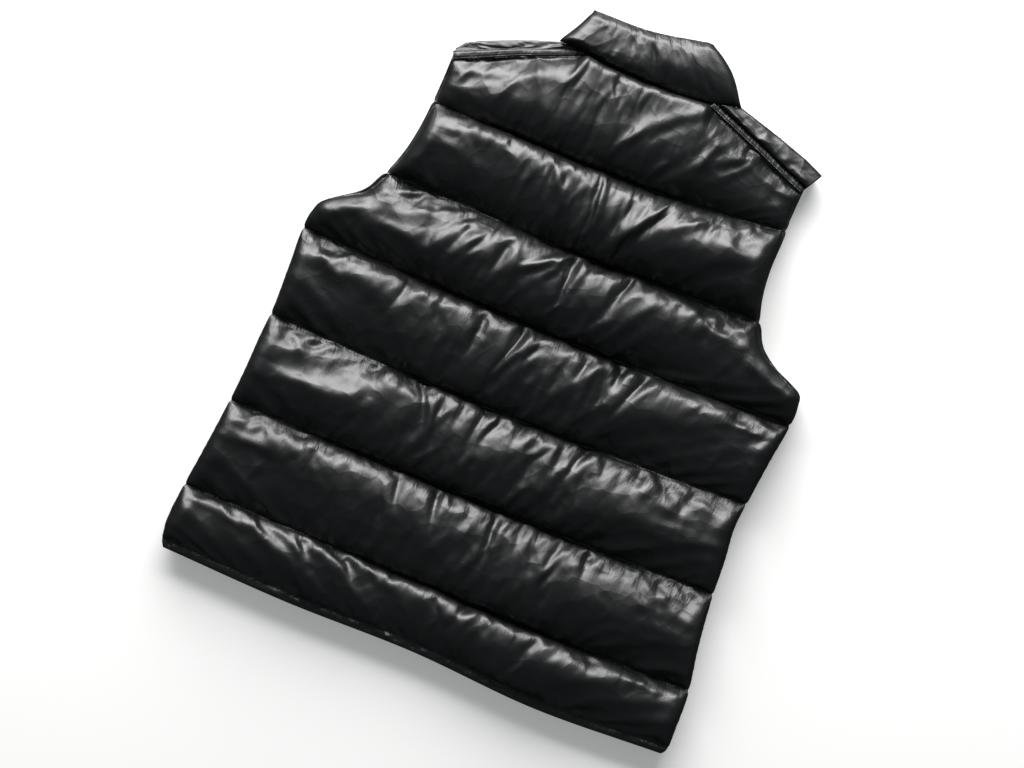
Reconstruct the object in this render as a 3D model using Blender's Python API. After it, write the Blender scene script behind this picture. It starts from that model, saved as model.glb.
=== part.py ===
"""Quilted down vest, zipped up and laid flat with its back up.

The tables are in millimetres in the vest's own plan: u runs across from the centre back, v runs up from
the hem to the collar, and z is the height above the surface that the vest lies on. The back lies on the
two fronts at the height MID, and every pad swells away from that plane between its cross seams.
"""

import math
from collections import namedtuple

import bmesh
import bpy
import numpy as np

# Driving sizes, in millimetres
MM = 0.001
GAP = 0.3  # between pieces that touch
MID = 15.0  # the plane where the back lies on the fronts
EDGE = 2.4  # a pad at a seam or a turned edge
LOFT_SHARE = 0.29  # swell of a free channel, as a share of its width
LOFT_MOST = 27.0
FLATTENING = 1.3  # how far the fronts' channels are pressed flat on the surface below
BACK_ROUNDING = 24.0  # how far in from its sides the back reaches its full height
FRONT_ROUNDING = 14.0
SHELF = 6.5  # flat seam allowance of the back along the shoulders and the neck
ROLL_SHELF = 4.0  # flat seam allowance of a front beyond the shoulder seam
ROLL_LOFT = 7.5  # swell of a front where it rolls over the shoulder
ROLL_ROUNDING = 11.0
BACK_CHANNEL_ROWS = 6
FRONT_CHANNEL_ROWS = 5
FRONT_YOKE_ROWS = 8
BACK_COLUMNS = 22
FRONT_COLUMNS = 8
ROLL_ROWS = 4

# Zip: a closed chain under two tapes, in the groove between the fronts
FRONT_EDGE = 4.5  # centre line to a front's edge
TAPE_HALF = 15.0
TAPE_THICK = 0.8
TAPE_RECESS = 2.6  # how far the fronts are lowered to take the tapes
RECESS_WIDENS = 16.0  # the recess is this much wider than the tape round the neck
TAPE_START = 4.0
TAPE_END = 615.0
CHAIN_HALF = 2.9
CHAIN_THICK = 2.6
CHAIN_START = 18.0
CHAIN_END = 603.0
BOX_START = 6.5
BOX_HALF = 3.9
BOX_THICK = 3.4
SLIDER_START = 597.0
SLIDER_LENGTH = 11.0
SLIDER_HALF = 4.2
SLIDER_WAIST = 3.1
SLIDER_END_ROUND = 0.75  # 1 would bring its ends to a point
PLATE_THICK = 1.2
POST_RADIUS = 1.3
POST_V = 605.0
BRIDGE_HALF = 1.1
BRIDGE_BAR = 1.3
BRIDGE_CLEAR = 2.1  # height inside the bridge, for the pull's crossbar
BRIDGE_START = 598.5
BRIDGE_LENGTH = 7.3

# Pull tab: a crossbar through the bridge, two arms and a blade
CROSSBAR_RADIUS = 0.7
CROSSBAR_V = 601.2
PULL_HALF = 2.9
PULL_LENGTH = 28.0
PULL_THICK = 1.4
EYE_HALF = 1.75
EYE_LENGTH = 8.5
PULL_DROP = math.radians(12.5)  # it leans down until its tip is just above the surface

# Shoulder tape: a strip over the shoulder seam
STRIP_ON_BACK = 5.2
STRIP_ON_FRONT = 3.3
STRIP_THICK = 1.2
STRIP_SHORT = 9.0  # it ends this far from the neck, clear of the collar

# Sides and armholes: u of the left and the right edge at a height v
Side = namedtuple("Side", "v left right")
SIDES = [
    Side(-8, -262.0, 266.0),
    Side(-3, -268.0, 271.0),
    Side(3, -272.5, 272.8),
    Side(20, -276.5, 272.8),
    Side(60, -275.0, 271.5),
    Side(100, -270.0, 264.5),
    Side(150, -264.5, 258.5),
    Side(200, -260.5, 255.5),
    Side(230, -259.5, 252.5),
    Side(262, -257.5, 255.5),
    Side(310, -258.5, 261.0),
    Side(345, -260.0, 266.0),
    Side(368, -258.0, 266.0),
    Side(381, -252.0, 261.0),
    Side(392, -237.0, 235.0),
    Side(404, -219.5, 216.0),
    Side(424, -207.0, 203.0),
    Side(450, -196.5, 194.0),
    Side(480, -189.5, 190.0),
    Side(520, -186.0, 190.5),
    Side(550, -185.0, 189.0),
    Side(572, -185.0, 191.0),
]

# Cross seams from the hem up: v at the left side, a quarter in, the middle, three quarters and the right
Seam = namedtuple("Seam", "name left quarter middle three_quarters right")
SEAMS = [
    Seam("hem", 0.0, -5.0, -4.0, -11.5, -6.0),
    Seam("hem_channel", 67.0, 64.0, 61.5, 60.0, 63.0),
    Seam("waist", 162.0, 159.5, 159.0, 158.5, 161.0),
    Seam("midriff", 257.0, 252.0, 250.5, 252.0, 257.0),
    Seam("chest", 349.5, 344.0, 341.0, 342.5, 346.5),
    Seam("armhole", 430.5, 429.5, 425.5, 428.0, 430.5),
    Seam("yoke", 514.5, 512.0, 511.5, 515.5, 525.5),
]
YOKE = SEAMS[-1]

# Shoulder seams, from the armhole in to the neck, and the back neck between them
Point = namedtuple("Point", "u v")
SHOULDER = {
    "left": [Point(-185.0, 566.0), Point(-125.0, 593.5), Point(-66.0, 616.5)],
    "right": [Point(191.0, 571.0), Point(135.0, 594.0), Point(77.0, 616.5)],
}
BACK_NECK = [Point(-34.0, 613.0), Point(4.0, 611.5), Point(44.0, 613.0)]

# The fold where each front turns over the shoulder on to the back, from the armhole in to the neck
FOLD = {
    "left": [
        Point(-184.5, 573.0),
        Point(-177.0, 582.0),
        Point(-162.0, 590.0),
        Point(-137.0, 600.5),
        Point(-113.0, 610.0),
        Point(-91.0, 617.5),
    ],
    "right": [
        Point(202.5, 590.5),
        Point(182.0, 599.5),
        Point(150.0, 610.0),
        Point(117.0, 619.5),
        Point(103.0, 623.5),
    ],
}
FRONT_NECK_LOW = 570.0  # v of the front neck at the zip
FRONT_NECK_POWER = 2.2  # a higher power gives a squarer front neck

# Collar, laid flat: its back half on top, its two front halves below, folded at both sides
CollarSide = namedtuple("CollarSide", "base_u base_v top_u top_v")
COLLAR = {
    "left": CollarSide(-91.0, 618.6, -70.5, 660.0),
    "right": CollarSide(103.0, 625.0, 53.0, 672.0),
}
COLLAR_TOP = Point(-8.0, 661.5)
COLLAR_FRONT_TOP = 621.0
COLLAR_FRONT_POWER = 1.6
COLLAR_BACK_SEAM_Z = 17.4
COLLAR_BACK_Z = 23.5
COLLAR_FRONT_SEAM_Z = 10.5
COLLAR_FRONT_Z = 6.1
COLLAR_HALF_PAD = 7.0
COLLAR_HALF_EDGE = 1.1
COLLAR_END_TAPER = 29.0
COLLAR_SEAM_REACH = 0.35  # share of its height in which it swells from the neck seam
COLLAR_TOP_REACH = 0.45
COLLAR_CLEAR = 1.1  # between the collar and the panels round the neck, across the grain of the seam
COLLAR_ROWS = 7
COLLAR_BACK_COLUMNS = 14
COLLAR_FRONT_COLUMNS = 9
COLLAR_FOLD_COLUMNS = 5

HEM_LOW = min(SEAMS[0][1:])
WIDTH_MIDDLE = (min(row.left for row in SIDES) + max(row.right for row in SIDES)) / 2
HEIGHT_MIDDLE = (HEM_LOW + COLLAR["right"].top_v) / 2
FRONT_TOP = MID - GAP / 2  # upper face of the fronts
BACK_BASE = MID + GAP / 2  # lower face of the back
SEAM_TOP = BACK_BASE + EDGE
SIGN = {"left": -1.0, "right": 1.0}


def curve(knots, values, where):
    """Smooth curve through the knots: a cubic in each span, with slopes from the neighbouring knots."""
    knots = np.asarray(knots, float)
    values = np.asarray(values, float)
    slopes = np.gradient(values, knots)
    where = np.clip(where, knots[0], knots[-1])
    span = np.clip(np.searchsorted(knots, where, side="right") - 1, 0, len(knots) - 2)
    width = knots[span + 1] - knots[span]
    t = (where - knots[span]) / width
    rise = t * t * (3 - 2 * t)
    leave = t * (1 - t) ** 2 * width * slopes[span]
    arrive = t * t * (t - 1) * width * slopes[span + 1]
    return values[span] * (1 - rise) + values[span + 1] * rise + leave + arrive


def ease(t):
    """Zero below 0, one above 1, and a smooth S between."""
    t = np.clip(t, 0.0, 1.0)
    return t * t * (3 - 2 * t)


def along(line, share):
    """Point at a share of the way along a line of points, by their number."""
    places = np.linspace(0.0, 1.0, len(line))
    return np.array([np.interp(share, places, [p[axis] for p in line]) for axis in (0, 1)])


def side_edge(side, v):
    """u of the left or the right edge at the height v."""
    return curve([row.v for row in SIDES], [getattr(row, side) for row in SIDES], v)


def seam_height(seam, across):
    """v of a cross seam at across, which runs from -1 at the left side to 1 at the right."""
    return curve([-1.0, -0.5, 0.0, 0.5, 1.0], seam[1:], across)


def channel_steps(rows):
    """Places from 0 to 1 across a channel, close together at its seams."""
    return [(1 - math.cos(math.pi * k / rows)) / 2 for k in range(rows + 1)]


def swell(w, width):
    """Height of an inflated channel at w of its width: an arc of a circle over the chord."""
    loft = min(LOFT_SHARE * width, LOFT_MOST)
    radius = (width * width / 4 + loft * loft) / (2 * loft)
    return math.sqrt(radius * radius - (width * (w - 0.5)) ** 2) - (radius - loft)


def rounding(distance, reach):
    """Share of the full height at a distance in from an edge: a quarter of an ellipse."""
    inward = min(max(distance / reach, 0.0), 1.0)
    return math.sqrt(1 - (1 - inward) ** 2)


def distance_to(line, u, v):
    """Distance from a point to the nearest place on a line of points."""
    start = line[:-1]
    step = line[1:] - start
    offset = np.array([u, v]) - start
    share = np.clip((offset * step).sum(axis=1) / (step * step).sum(axis=1), 0.0, 1.0)
    return np.linalg.norm(offset - share[:, None] * step, axis=1).min()


def side_line(side):
    """Points up one side of the body and its armhole."""
    heights = np.linspace(SIDES[0].v, SIDES[-1].v, 90)
    return np.column_stack([side_edge(side, heights), heights])


def new_collection(name):
    """Collection under the scene's own."""
    made = bpy.data.collections.new(name)
    bpy.context.scene.collection.children.link(made)
    return made


def new_material(name, colour, roughness, metallic=0.0):
    """Principled material of one colour."""
    made = bpy.data.materials.new(name)
    made.use_nodes = True
    shader = made.node_tree.nodes["Principled BSDF"]
    shader.inputs["Base Color"].default_value = (*colour, 1.0)
    shader.inputs["Roughness"].default_value = roughness
    shader.inputs["Metallic"].default_value = metallic
    return made


def to_world(u, v, z):
    """Plan millimetres to metres about the middle of the vest."""
    return ((u - WIDTH_MIDDLE) * MM, (v - HEIGHT_MIDDLE) * MM, z * MM)


def add_object(name, bm, finish, home):
    """Links a finished bmesh into a collection as one named object, and frees it."""
    bmesh.ops.recalc_face_normals(bm, faces=bm.faces)
    mesh = bpy.data.meshes.new(name)
    bm.to_mesh(mesh)
    bm.free()
    mesh.materials.append(finish)
    mesh.shade_smooth()
    mesh.set_sharp_from_angle(angle=math.radians(50))
    made = bpy.data.objects.new(name, mesh)
    home.objects.link(made)
    return made


def pad(name, upper, lower, finish, home):
    """Closed pad between two grids of (u, v, z) rows, with a rim round all four edges."""
    rows, columns = len(upper), len(upper[0])
    bm = bmesh.new()
    top = [[bm.verts.new(to_world(*point)) for point in row] for row in upper]
    bottom = [[bm.verts.new(to_world(*point)) for point in row] for row in lower]
    for i in range(rows - 1):
        for j in range(columns - 1):
            bm.faces.new((top[i][j], top[i][j + 1], top[i + 1][j + 1], top[i + 1][j]))
            bm.faces.new((bottom[i][j], bottom[i + 1][j], bottom[i + 1][j + 1], bottom[i][j + 1]))
    ring = [(0, j) for j in range(columns - 1)]
    ring += [(i, columns - 1) for i in range(rows - 1)]
    ring += [(rows - 1, j) for j in range(columns - 1, 0, -1)]
    ring += [(i, 0) for i in range(rows - 1, 0, -1)]
    for (i, j), (k, m) in zip(ring, ring[1:] + ring[:1]):
        bm.faces.new((top[i][j], bottom[i][j], bottom[k][m], top[k][m]))
    return add_object(name, bm, finish, home)


def slab(name, outline, low, high, finish, home):
    """Flat piece with a plan outline, between two heights."""
    bm = bmesh.new()
    base = bm.faces.new([bm.verts.new(to_world(u, v, low)) for u, v in outline])
    risen = bmesh.ops.extrude_face_region(bm, geom=[base])["geom"]
    corners = [item for item in risen if isinstance(item, bmesh.types.BMVert)]
    bmesh.ops.translate(bm, verts=corners, vec=(0.0, 0.0, (high - low) * MM))
    return add_object(name, bm, finish, home)


def rectangle(low_u, high_u, low_v, high_v):
    """Corners of a plan rectangle."""
    return [(low_u, low_v), (high_u, low_v), (high_u, high_v), (low_u, high_v)]


def unite(target, tools, guides):
    """Joins the tools to the target with Boolean unions, and keeps the tools as wire guides."""
    for tool in tools:
        step = target.modifiers.new("join_" + tool.name, "BOOLEAN")
        step.operation = "UNION"
        step.object = tool
        tool.users_collection[0].objects.unlink(tool)
        guides.objects.link(tool)
        tool.hide_render = True
        tool.display_type = "WIRE"


def back_top_line():
    """Upper edge of the back: up one shoulder seam, across the neck and down the other."""
    return SHOULDER["left"] + BACK_NECK + SHOULDER["right"][::-1]


def build_back(finish, home):
    """The back: flat where it lies on the fronts, swollen between its seams, low at its sides."""
    across = np.sin(np.linspace(-math.pi / 2, math.pi / 2, BACK_COLUMNS + 1))
    top = back_top_line()
    top_u = top[0].u + (across + 1) / 2 * (top[-1].u - top[0].u)
    top_v = np.interp(top_u, [p.u for p in top], [p.v for p in top])
    levels = [seam_height(seam, across) for seam in SEAMS] + [top_v - SHELF]
    rows = []
    for low, high in zip(levels, levels[1:]):
        for w in channel_steps(BACK_CHANNEL_ROWS)[bool(rows):]:
            rows.append((low + w * (high - low), [swell(w, width) for width in high - low]))
    rows.append((top_v, [0.0] * len(across)))
    sides = [side_line("left"), side_line("right")]
    upper, lower = [], []
    for heights, swells in rows:
        left, right = side_edge("left", heights[0]), side_edge("right", heights[-1])
        widths = left + (across + 1) / 2 * (right - left)
        row = []
        for u, v, height in zip(widths, heights, swells):
            inward = min(distance_to(line, u, v) for line in sides)
            row.append((u, v, SEAM_TOP + height * rounding(inward, BACK_ROUNDING)))
        upper.append(row)
        lower.append([(u, v, BACK_BASE) for u, v, z in row])
    return pad("back", upper, lower, finish, home)


def front_neck(side, u):
    """v of the front neckline at u, from the zip out to the shoulder seam."""
    corner = SHOULDER[side][-1]
    share = min(abs(u) / abs(corner.u), 1.0)
    return FRONT_NECK_LOW + (corner.v - FRONT_NECK_LOW) * share**FRONT_NECK_POWER


def front_inner_edge(side):
    """Inner edge of a front above the yoke seam: up the zip, then round the neck to the shoulder."""
    zip_u = SIGN[side] * FRONT_EDGE
    climb = [Point(zip_u, v) for v in np.linspace(YOKE.middle, FRONT_NECK_LOW, 4)]
    bend = np.linspace(zip_u, SHOULDER[side][-1].u, 7)[1:]
    return climb + [Point(u, front_neck(side, u)) for u in bend]


def yoke_places():
    """Places from 0 to 1 from the yoke seam to the shoulder seam."""
    return [k / FRONT_YOKE_ROWS for k in range(1, FRONT_YOKE_ROWS + 1)]


def neck_line(side):
    """The front neckline as it is cut, in short straight runs from the zip to the shoulder seam."""
    edge = front_inner_edge(side)
    places = [along(edge, w) for w in yoke_places()]
    return [p for p in places if abs(p[0]) > FRONT_EDGE + GAP]


def front_outline(side):
    """Open line round a front: up its side, along the fold, round the neck and down the zip."""
    inner = front_inner_edge(side)[::-1] + [Point(SIGN[side] * FRONT_EDGE, HEM_LOW)]
    return np.vstack([side_line(side), np.array(FOLD[side]), np.array(inner)])


def front_shares(width):
    """Places across a front from its side (0) to its inner edge (1), close at both and at the recess."""
    wide = TAPE_HALF - FRONT_EDGE + 1.0
    recess = [1 - reach / width for reach in (wide + 2.0, wide, wide / 2, 0.0)]
    side = [recess[0] * (1 - math.cos(math.pi / 2 * k / FRONT_COLUMNS)) for k in range(FRONT_COLUMNS)]
    return side + recess


def front_rows(side):
    """Rows of (u, v, place in the channel, channel width), from the hem to the shoulder seam."""
    sign = SIGN[side]
    rows = []
    for low, high in zip(SEAMS, SEAMS[1:]):
        for w in channel_steps(FRONT_CHANNEL_ROWS)[bool(rows):]:
            ends = [seam_height(seam, sign) for seam in (low, high)]
            outer = side_edge(side, ends[0] + w * (ends[1] - ends[0]))
            row = []
            for share in front_shares(abs(outer) - FRONT_EDGE):
                low_v, high_v = (seam_height(seam, sign * (1 - share)) for seam in (low, high))
                u = outer + share * (sign * FRONT_EDGE - outer)
                row.append((u, low_v + w * (high_v - low_v), w, high_v - low_v))
            rows.append(row)
    seam_row = rows[-1]
    inner_edge = front_inner_edge(side)
    width = inner_edge[-1].v - YOKE.middle
    for w in yoke_places():
        shift = along(inner_edge, w) - (1 - w) * np.array(seam_row[-1][:2]) - w * np.array(SHOULDER[side][-1])
        row = []
        for start, share in zip(seam_row, front_shares(abs(seam_row[0][0]) - FRONT_EDGE)):
            place = (1 - w) * np.array(start[:2]) + w * along(SHOULDER[side], share) + share * shift
            row.append((place[0], place[1], min(w, 0.5), width))
        rows.append(row)
    return rows


def roll_rows(side):
    """Rows of (u, v, z) of the upper face from the shoulder seam over the roll to the fold."""
    shares = front_shares(abs(side_edge(side, YOKE.left)) - FRONT_EDGE)
    seam = np.array([along(SHOULDER[side], share) for share in shares])
    fold = np.array([along(FOLD[side], share) for share in shares])
    run = seam[-1] - seam[0]
    outward = np.array([-run[1], run[0]]) * -SIGN[side] / np.linalg.norm(run)
    depth = ((fold - seam) * outward).sum(axis=1)
    rows = [np.column_stack([seam + GAP * outward, np.full(len(shares), FRONT_TOP)])]
    rows.append(np.column_stack([seam + (GAP + 0.1) * outward, np.full(len(shares), SEAM_TOP)]))
    for k in range(ROLL_ROWS + 1):
        share = 1 - (1 - ROLL_SHELF / depth) * math.cos(math.pi / 2 * k / ROLL_ROWS)
        place = seam + share[:, None] * (fold - seam)
        inward = [min(np.linalg.norm(p - seam[0]), np.linalg.norm(p - seam[-1])) for p in place]
        lift = ROLL_LOFT * math.sqrt(max(math.sin(math.pi * k / ROLL_ROWS), 0.0))
        level = SEAM_TOP if k < ROLL_ROWS else MID + EDGE / 2
        rows.append(np.column_stack([place, [level + lift * rounding(d, ROLL_ROUNDING) for d in inward]]))
    return rows


def build_front(side, finish, home):
    """One front: pressed flat on the surface below, flat under the back, rolled over the shoulder."""
    outline = front_outline(side)
    bare = FRONT_TOP - EDGE

    def underside(u, v, w, width):
        """Height of the lower face: zero on the pressed channels, up at the seams and the edges."""
        full = min(1.0, FLATTENING * swell(w, width) / swell(0.5, width))
        return bare * (1 - full * rounding(distance_to(outline, u, v), FRONT_ROUNDING))

    def recess(u, v):
        """How far the upper face is lowered to take the zip's tape."""
        reach = TAPE_HALF + (1.2 if v <= YOKE.middle + 1 else RECESS_WIDENS)
        return TAPE_RECESS if abs(u) < reach else 0.0

    rows = front_rows(side)
    upper, lower = [], []
    for row in rows:
        top = [(u, v, FRONT_TOP - recess(u, v)) for u, v, w, width in row]
        upper.append(top)
        below = [underside(*place) for place in row]
        lower.append([(u, v, min(low, z - EDGE)) for (u, v, z), low in zip(top, below)])
    yoke_width = rows[-1][0][3]
    for row in roll_rows(side):
        upper.append([tuple(point) for point in row])
        lower.append([(u, v, underside(u, v, 0.5, yoke_width)) for u, v, z in row])
    return pad("front_" + side, upper, lower, finish, home)


def collar_base(u):
    """v of the collar's back neck seam at u, just clear of the back's upper edge."""
    left, right = COLLAR["left"], COLLAR["right"]
    neck = [Point(left.base_u, left.base_v)]
    neck += [Point(p.u, p.v + COLLAR_CLEAR) for p in back_top_line()[2:-2]]
    neck.append(Point(right.base_u, right.base_v))
    return np.interp(u, [p.u for p in neck], [p.v for p in neck])


def collar_top(share):
    """v of the back's half of the collar's top edge, from the left fold to the right one."""
    left, right = COLLAR["left"], COLLAR["right"]
    middle = (COLLAR_TOP.u - left.top_u) / (right.top_u - left.top_u)
    return curve([0.0, middle, 1.0], [left.top_v, COLLAR_TOP.v, right.top_v], share)


def collar_back_place(share, climb, inset):
    """Plan place on the collar's back half: share runs from the left fold to the right one."""
    left, right = COLLAR["left"], COLLAR["right"]
    base_u = left.base_u + inset + share * (right.base_u - left.base_u - 2 * inset)
    top_u = left.top_u + inset + share * (right.top_u - left.top_u - 2 * inset)
    base_v, top_v = collar_base(base_u), collar_top(share)
    return base_u + climb * (top_u - base_u), base_v + climb * (top_v - base_v)


def collar_front_place(side, share, climb, inset):
    """Plan place on a front half of the collar: share runs from the fold to the zip."""
    fold, corner, sign = COLLAR[side], SHOULDER[side][-1], SIGN[side]
    zip_u = sign * FRONT_EDGE
    base_u = fold.base_u - sign * inset
    top_u = fold.top_u - sign * inset
    outward = (1 - share) ** COLLAR_FRONT_POWER
    top_v = COLLAR_FRONT_TOP + (fold.top_v - COLLAR_FRONT_TOP) * outward
    base_u += share * (zip_u - base_u)
    top_u += share * (zip_u - top_u)
    if abs(base_u) > abs(corner.u) + GAP:
        base_v = collar_base(base_u)
    else:
        neck = neck_line(side)
        base_v = np.interp(abs(base_u), [abs(p[0]) for p in neck], [p[1] for p in neck])
        base_v += COLLAR_CLEAR * (1 + abs(base_u / corner.u) / 2)
    return base_u + climb * (top_u - base_u), base_v + climb * (top_v - base_v)


def collar_front_shares(side):
    """Places along a front half of the collar, from the fold to the zip, with one at the neck's corner."""
    fold, corner = COLLAR[side], SHOULDER[side][-1]
    start = abs(fold.base_u) - (COLLAR_BACK_SEAM_Z - COLLAR_FRONT_SEAM_Z) / 2 - COLLAR_HALF_EDGE
    turn = (start - abs(corner.u)) / (start - FRONT_EDGE)
    steps = [k / COLLAR_FRONT_COLUMNS for k in range(COLLAR_FRONT_COLUMNS + 1)]
    return [0.0, turn / 2] + [turn + (1 - turn) * (1 - (1 - step) ** 1.3) for step in steps]


def collar_row(climb):
    """One row round the flattened collar: outer and inner points at a share of its height."""
    swollen = ease(climb / COLLAR_SEAM_REACH)
    full = rounding(climb, COLLAR_SEAM_REACH) * rounding(1 - climb, COLLAR_TOP_REACH)
    half = COLLAR_HALF_EDGE + full * (COLLAR_HALF_PAD - COLLAR_HALF_EDGE)
    back_z = COLLAR_BACK_SEAM_Z + swollen * (COLLAR_BACK_Z - COLLAR_BACK_SEAM_Z)
    front_z = COLLAR_FRONT_SEAM_Z + swollen * (COLLAR_FRONT_Z - COLLAR_FRONT_SEAM_Z)
    radius = (back_z - front_z) / 2
    inset = radius + half
    outer, inner = [], []

    def front_half(side, shares):
        """Flat run between a fold and the zip, thin at its zip end."""
        for share in shares:
            u, v = collar_front_place(side, share, climb, inset)
            puffed = ease((abs(u) - FRONT_EDGE) / COLLAR_END_TAPER)
            z = COLLAR_FRONT_SEAM_Z + puffed * (front_z - COLLAR_FRONT_SEAM_Z)
            thick = COLLAR_HALF_EDGE + puffed * (half - COLLAR_HALF_EDGE)
            outer.append((u, v, max(z - thick, 0.0)))
            inner.append((u, v, z + thick))

    def fold(side, angles):
        """Half turn at one side, from the front half below to the back half above."""
        u, v = collar_front_place(side, 0.0, climb, inset)
        for angle in angles:
            for reach, points in ((radius + half, outer), (radius - half, inner)):
                z = front_z + radius - reach * math.cos(angle)
                points.append((u + SIGN[side] * reach * math.sin(angle), v, max(z, 0.0)))

    turns = [math.pi * k / COLLAR_FOLD_COLUMNS for k in range(1, COLLAR_FOLD_COLUMNS)]
    front_half("left", collar_front_shares("left")[::-1])
    fold("left", turns)
    for k in range(COLLAR_BACK_COLUMNS + 1):
        u, v = collar_back_place((1 - math.cos(math.pi * k / COLLAR_BACK_COLUMNS)) / 2, climb, inset)
        outer.append((u, v, back_z + half))
        inner.append((u, v, back_z - half))
    fold("right", turns[::-1])
    front_half("right", collar_front_shares("right"))
    return outer, inner


def build_collar(finish, home):
    """The stand collar: one padded strip, flattened, from the zip round both folds to the zip."""
    rows = [collar_row(climb) for climb in channel_steps(COLLAR_ROWS)]
    return pad("collar", [outer for outer, _ in rows], [inner for _, inner in rows], finish, home)


def build_shoulder_tape(side, finish, home):
    """Narrow strip laid over a shoulder seam, half on the back and half on the front."""
    seam = np.array(SHOULDER[side])
    run = seam[-1] - seam[0]
    outward = np.array([-run[1], run[0]]) * -SIGN[side] / np.linalg.norm(run)
    seam[-1] -= STRIP_SHORT * run / np.linalg.norm(run)
    near = [tuple(p - STRIP_ON_BACK * outward) for p in seam]
    far = [tuple(p + STRIP_ON_FRONT * outward) for p in seam[::-1]]
    low = SEAM_TOP + GAP
    return slab("shoulder_tape_" + side, near + far, low, low + STRIP_THICK, finish, home)


def build_zip(side_finish, chain_finish, home):
    """Two woven tapes with the closed chain of teeth under them, and the box at its lower end."""
    low = FRONT_TOP - TAPE_RECESS + GAP
    notch = CHAIN_END - 1.0
    post_clear = POST_RADIUS + GAP
    for side, sign in SIGN.items():
        outline = [
            (sign * GAP / 2, TAPE_START),
            (sign * TAPE_HALF, TAPE_START),
            (sign * TAPE_HALF, TAPE_END),
            (sign * post_clear, TAPE_END),
            (sign * post_clear, notch),
            (sign * GAP / 2, notch),
        ]
        slab("zip_tape_" + side, outline, low, low + TAPE_THICK, side_finish, home)
    top = low - GAP
    chain = rectangle(-CHAIN_HALF, CHAIN_HALF, CHAIN_START, CHAIN_END)
    slab("zip_chain", chain, top - CHAIN_THICK, top, chain_finish, home)
    box = rectangle(-BOX_HALF, BOX_HALF, BOX_START, CHAIN_START - GAP)
    slab("zip_box", box, top - BOX_THICK, top, chain_finish, home)


def slider_outline():
    """Waisted plate of the slider: round at both ends, narrowest in its middle."""
    steps = np.linspace(0.0, 1.0, 13)
    half = SLIDER_WAIST + (SLIDER_HALF - SLIDER_WAIST) * np.cos(2 * math.pi * steps) ** 2
    half *= np.sqrt(1 - SLIDER_END_ROUND * np.abs(2 * steps - 1) ** 6)
    climb = SLIDER_START + steps * SLIDER_LENGTH
    return list(zip(half, climb)) + list(zip(-half[::-1], climb[::-1]))


def cylinder(name, radius, length, place, turn, finish, home):
    """Round bar of a radius and length in millimetres, about a place in metres, turned from the Z axis."""
    bpy.ops.mesh.primitive_cylinder_add(
        vertices=16, radius=radius * MM, depth=length * MM, location=place, rotation=turn
    )
    made = bpy.context.object
    made.name = name
    made.data.materials.append(finish)
    for owner in list(made.users_collection):
        owner.objects.unlink(made)
    home.objects.link(made)
    return made


def build_slider(finish, home, guides):
    """Slider: a plate over and a plate under the chain, a post that joins them, and the pull's bridge."""
    chain_low = FRONT_TOP - TAPE_RECESS - CHAIN_THICK
    tape_top = FRONT_TOP - TAPE_RECESS + GAP + TAPE_THICK
    plate_low = chain_low - GAP - PLATE_THICK
    body = slab("zip_slider", slider_outline(), plate_low, chain_low - GAP, finish, home)
    upper = slab("slider_upper_plate", slider_outline(), tape_top + GAP, BACK_BASE - GAP, finish, home)
    middle = to_world(0.0, POST_V, (plate_low + PLATE_THICK / 2 + tape_top + GAP + PLATE_THICK / 2) / 2)
    length = tape_top + GAP - plate_low
    post = cylinder("slider_post", POST_RADIUS, length, middle, (0.0, 0.0, 0.0), finish, home)
    bar_low = plate_low - BRIDGE_CLEAR - BRIDGE_BAR
    bar_high = plate_low - BRIDGE_CLEAR
    bridge_end = BRIDGE_START + BRIDGE_LENGTH
    across = (-BRIDGE_HALF, BRIDGE_HALF)
    bar = slab("slider_bridge", rectangle(*across, BRIDGE_START, bridge_end), bar_low, bar_high, finish, home)
    sunk = plate_low + PLATE_THICK / 2
    foot = rectangle(*across, BRIDGE_START, BRIDGE_START + BRIDGE_BAR)
    low_leg = slab("slider_low_leg", foot, bar_high - BRIDGE_BAR / 2, sunk, finish, home)
    foot = rectangle(*across, bridge_end - BRIDGE_BAR, bridge_end)
    high_leg = slab("slider_high_leg", foot, bar_high - BRIDGE_BAR / 2, sunk, finish, home)
    unite(body, [post, upper, low_leg, high_leg, bar], guides)


def build_pull(finish, home, guides):
    """Pull tab on its crossbar's axis: two arms past the bridge and a blade with a round end."""
    plate_low = FRONT_TOP - TAPE_RECESS - CHAIN_THICK - GAP - PLATE_THICK
    axis = to_world(0.0, CROSSBAR_V, plate_low - BRIDGE_CLEAR / 2)
    steps = np.linspace(0.0, math.pi, 9)
    round_end = PULL_LENGTH - PULL_HALF
    blade = [(PULL_HALF, -EYE_LENGTH), (-PULL_HALF, -EYE_LENGTH)]
    blade += [(-PULL_HALF * math.cos(a), -round_end - PULL_HALF * math.sin(a)) for a in steps]
    pieces = [("zip_pull", blade)]
    overlap = EYE_LENGTH + PULL_THICK
    pieces.append(("pull_left_arm", rectangle(-PULL_HALF, -EYE_HALF, -overlap, 0.0)))
    pieces.append(("pull_right_arm", rectangle(EYE_HALF, PULL_HALF, -overlap, 0.0)))
    made = []
    for name, outline in pieces:
        bm = bmesh.new()
        low = -PULL_THICK / 2 * MM
        face = bm.faces.new([bm.verts.new((u * MM, v * MM, low)) for u, v in outline])
        risen = bmesh.ops.extrude_face_region(bm, geom=[face])["geom"]
        corners = [item for item in risen if isinstance(item, bmesh.types.BMVert)]
        bmesh.ops.translate(bm, verts=corners, vec=(0.0, 0.0, PULL_THICK * MM))
        piece = add_object(name, bm, finish, home)
        piece.location = axis
        piece.rotation_euler = (PULL_DROP, 0.0, 0.0)
        made.append(piece)
    across = (0.0, math.pi / 2, 0.0)
    crossbar = cylinder("pull_crossbar", CROSSBAR_RADIUS, 2 * PULL_HALF, axis, across, finish, home)
    unite(made[0], made[1:] + [crossbar], guides)


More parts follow.
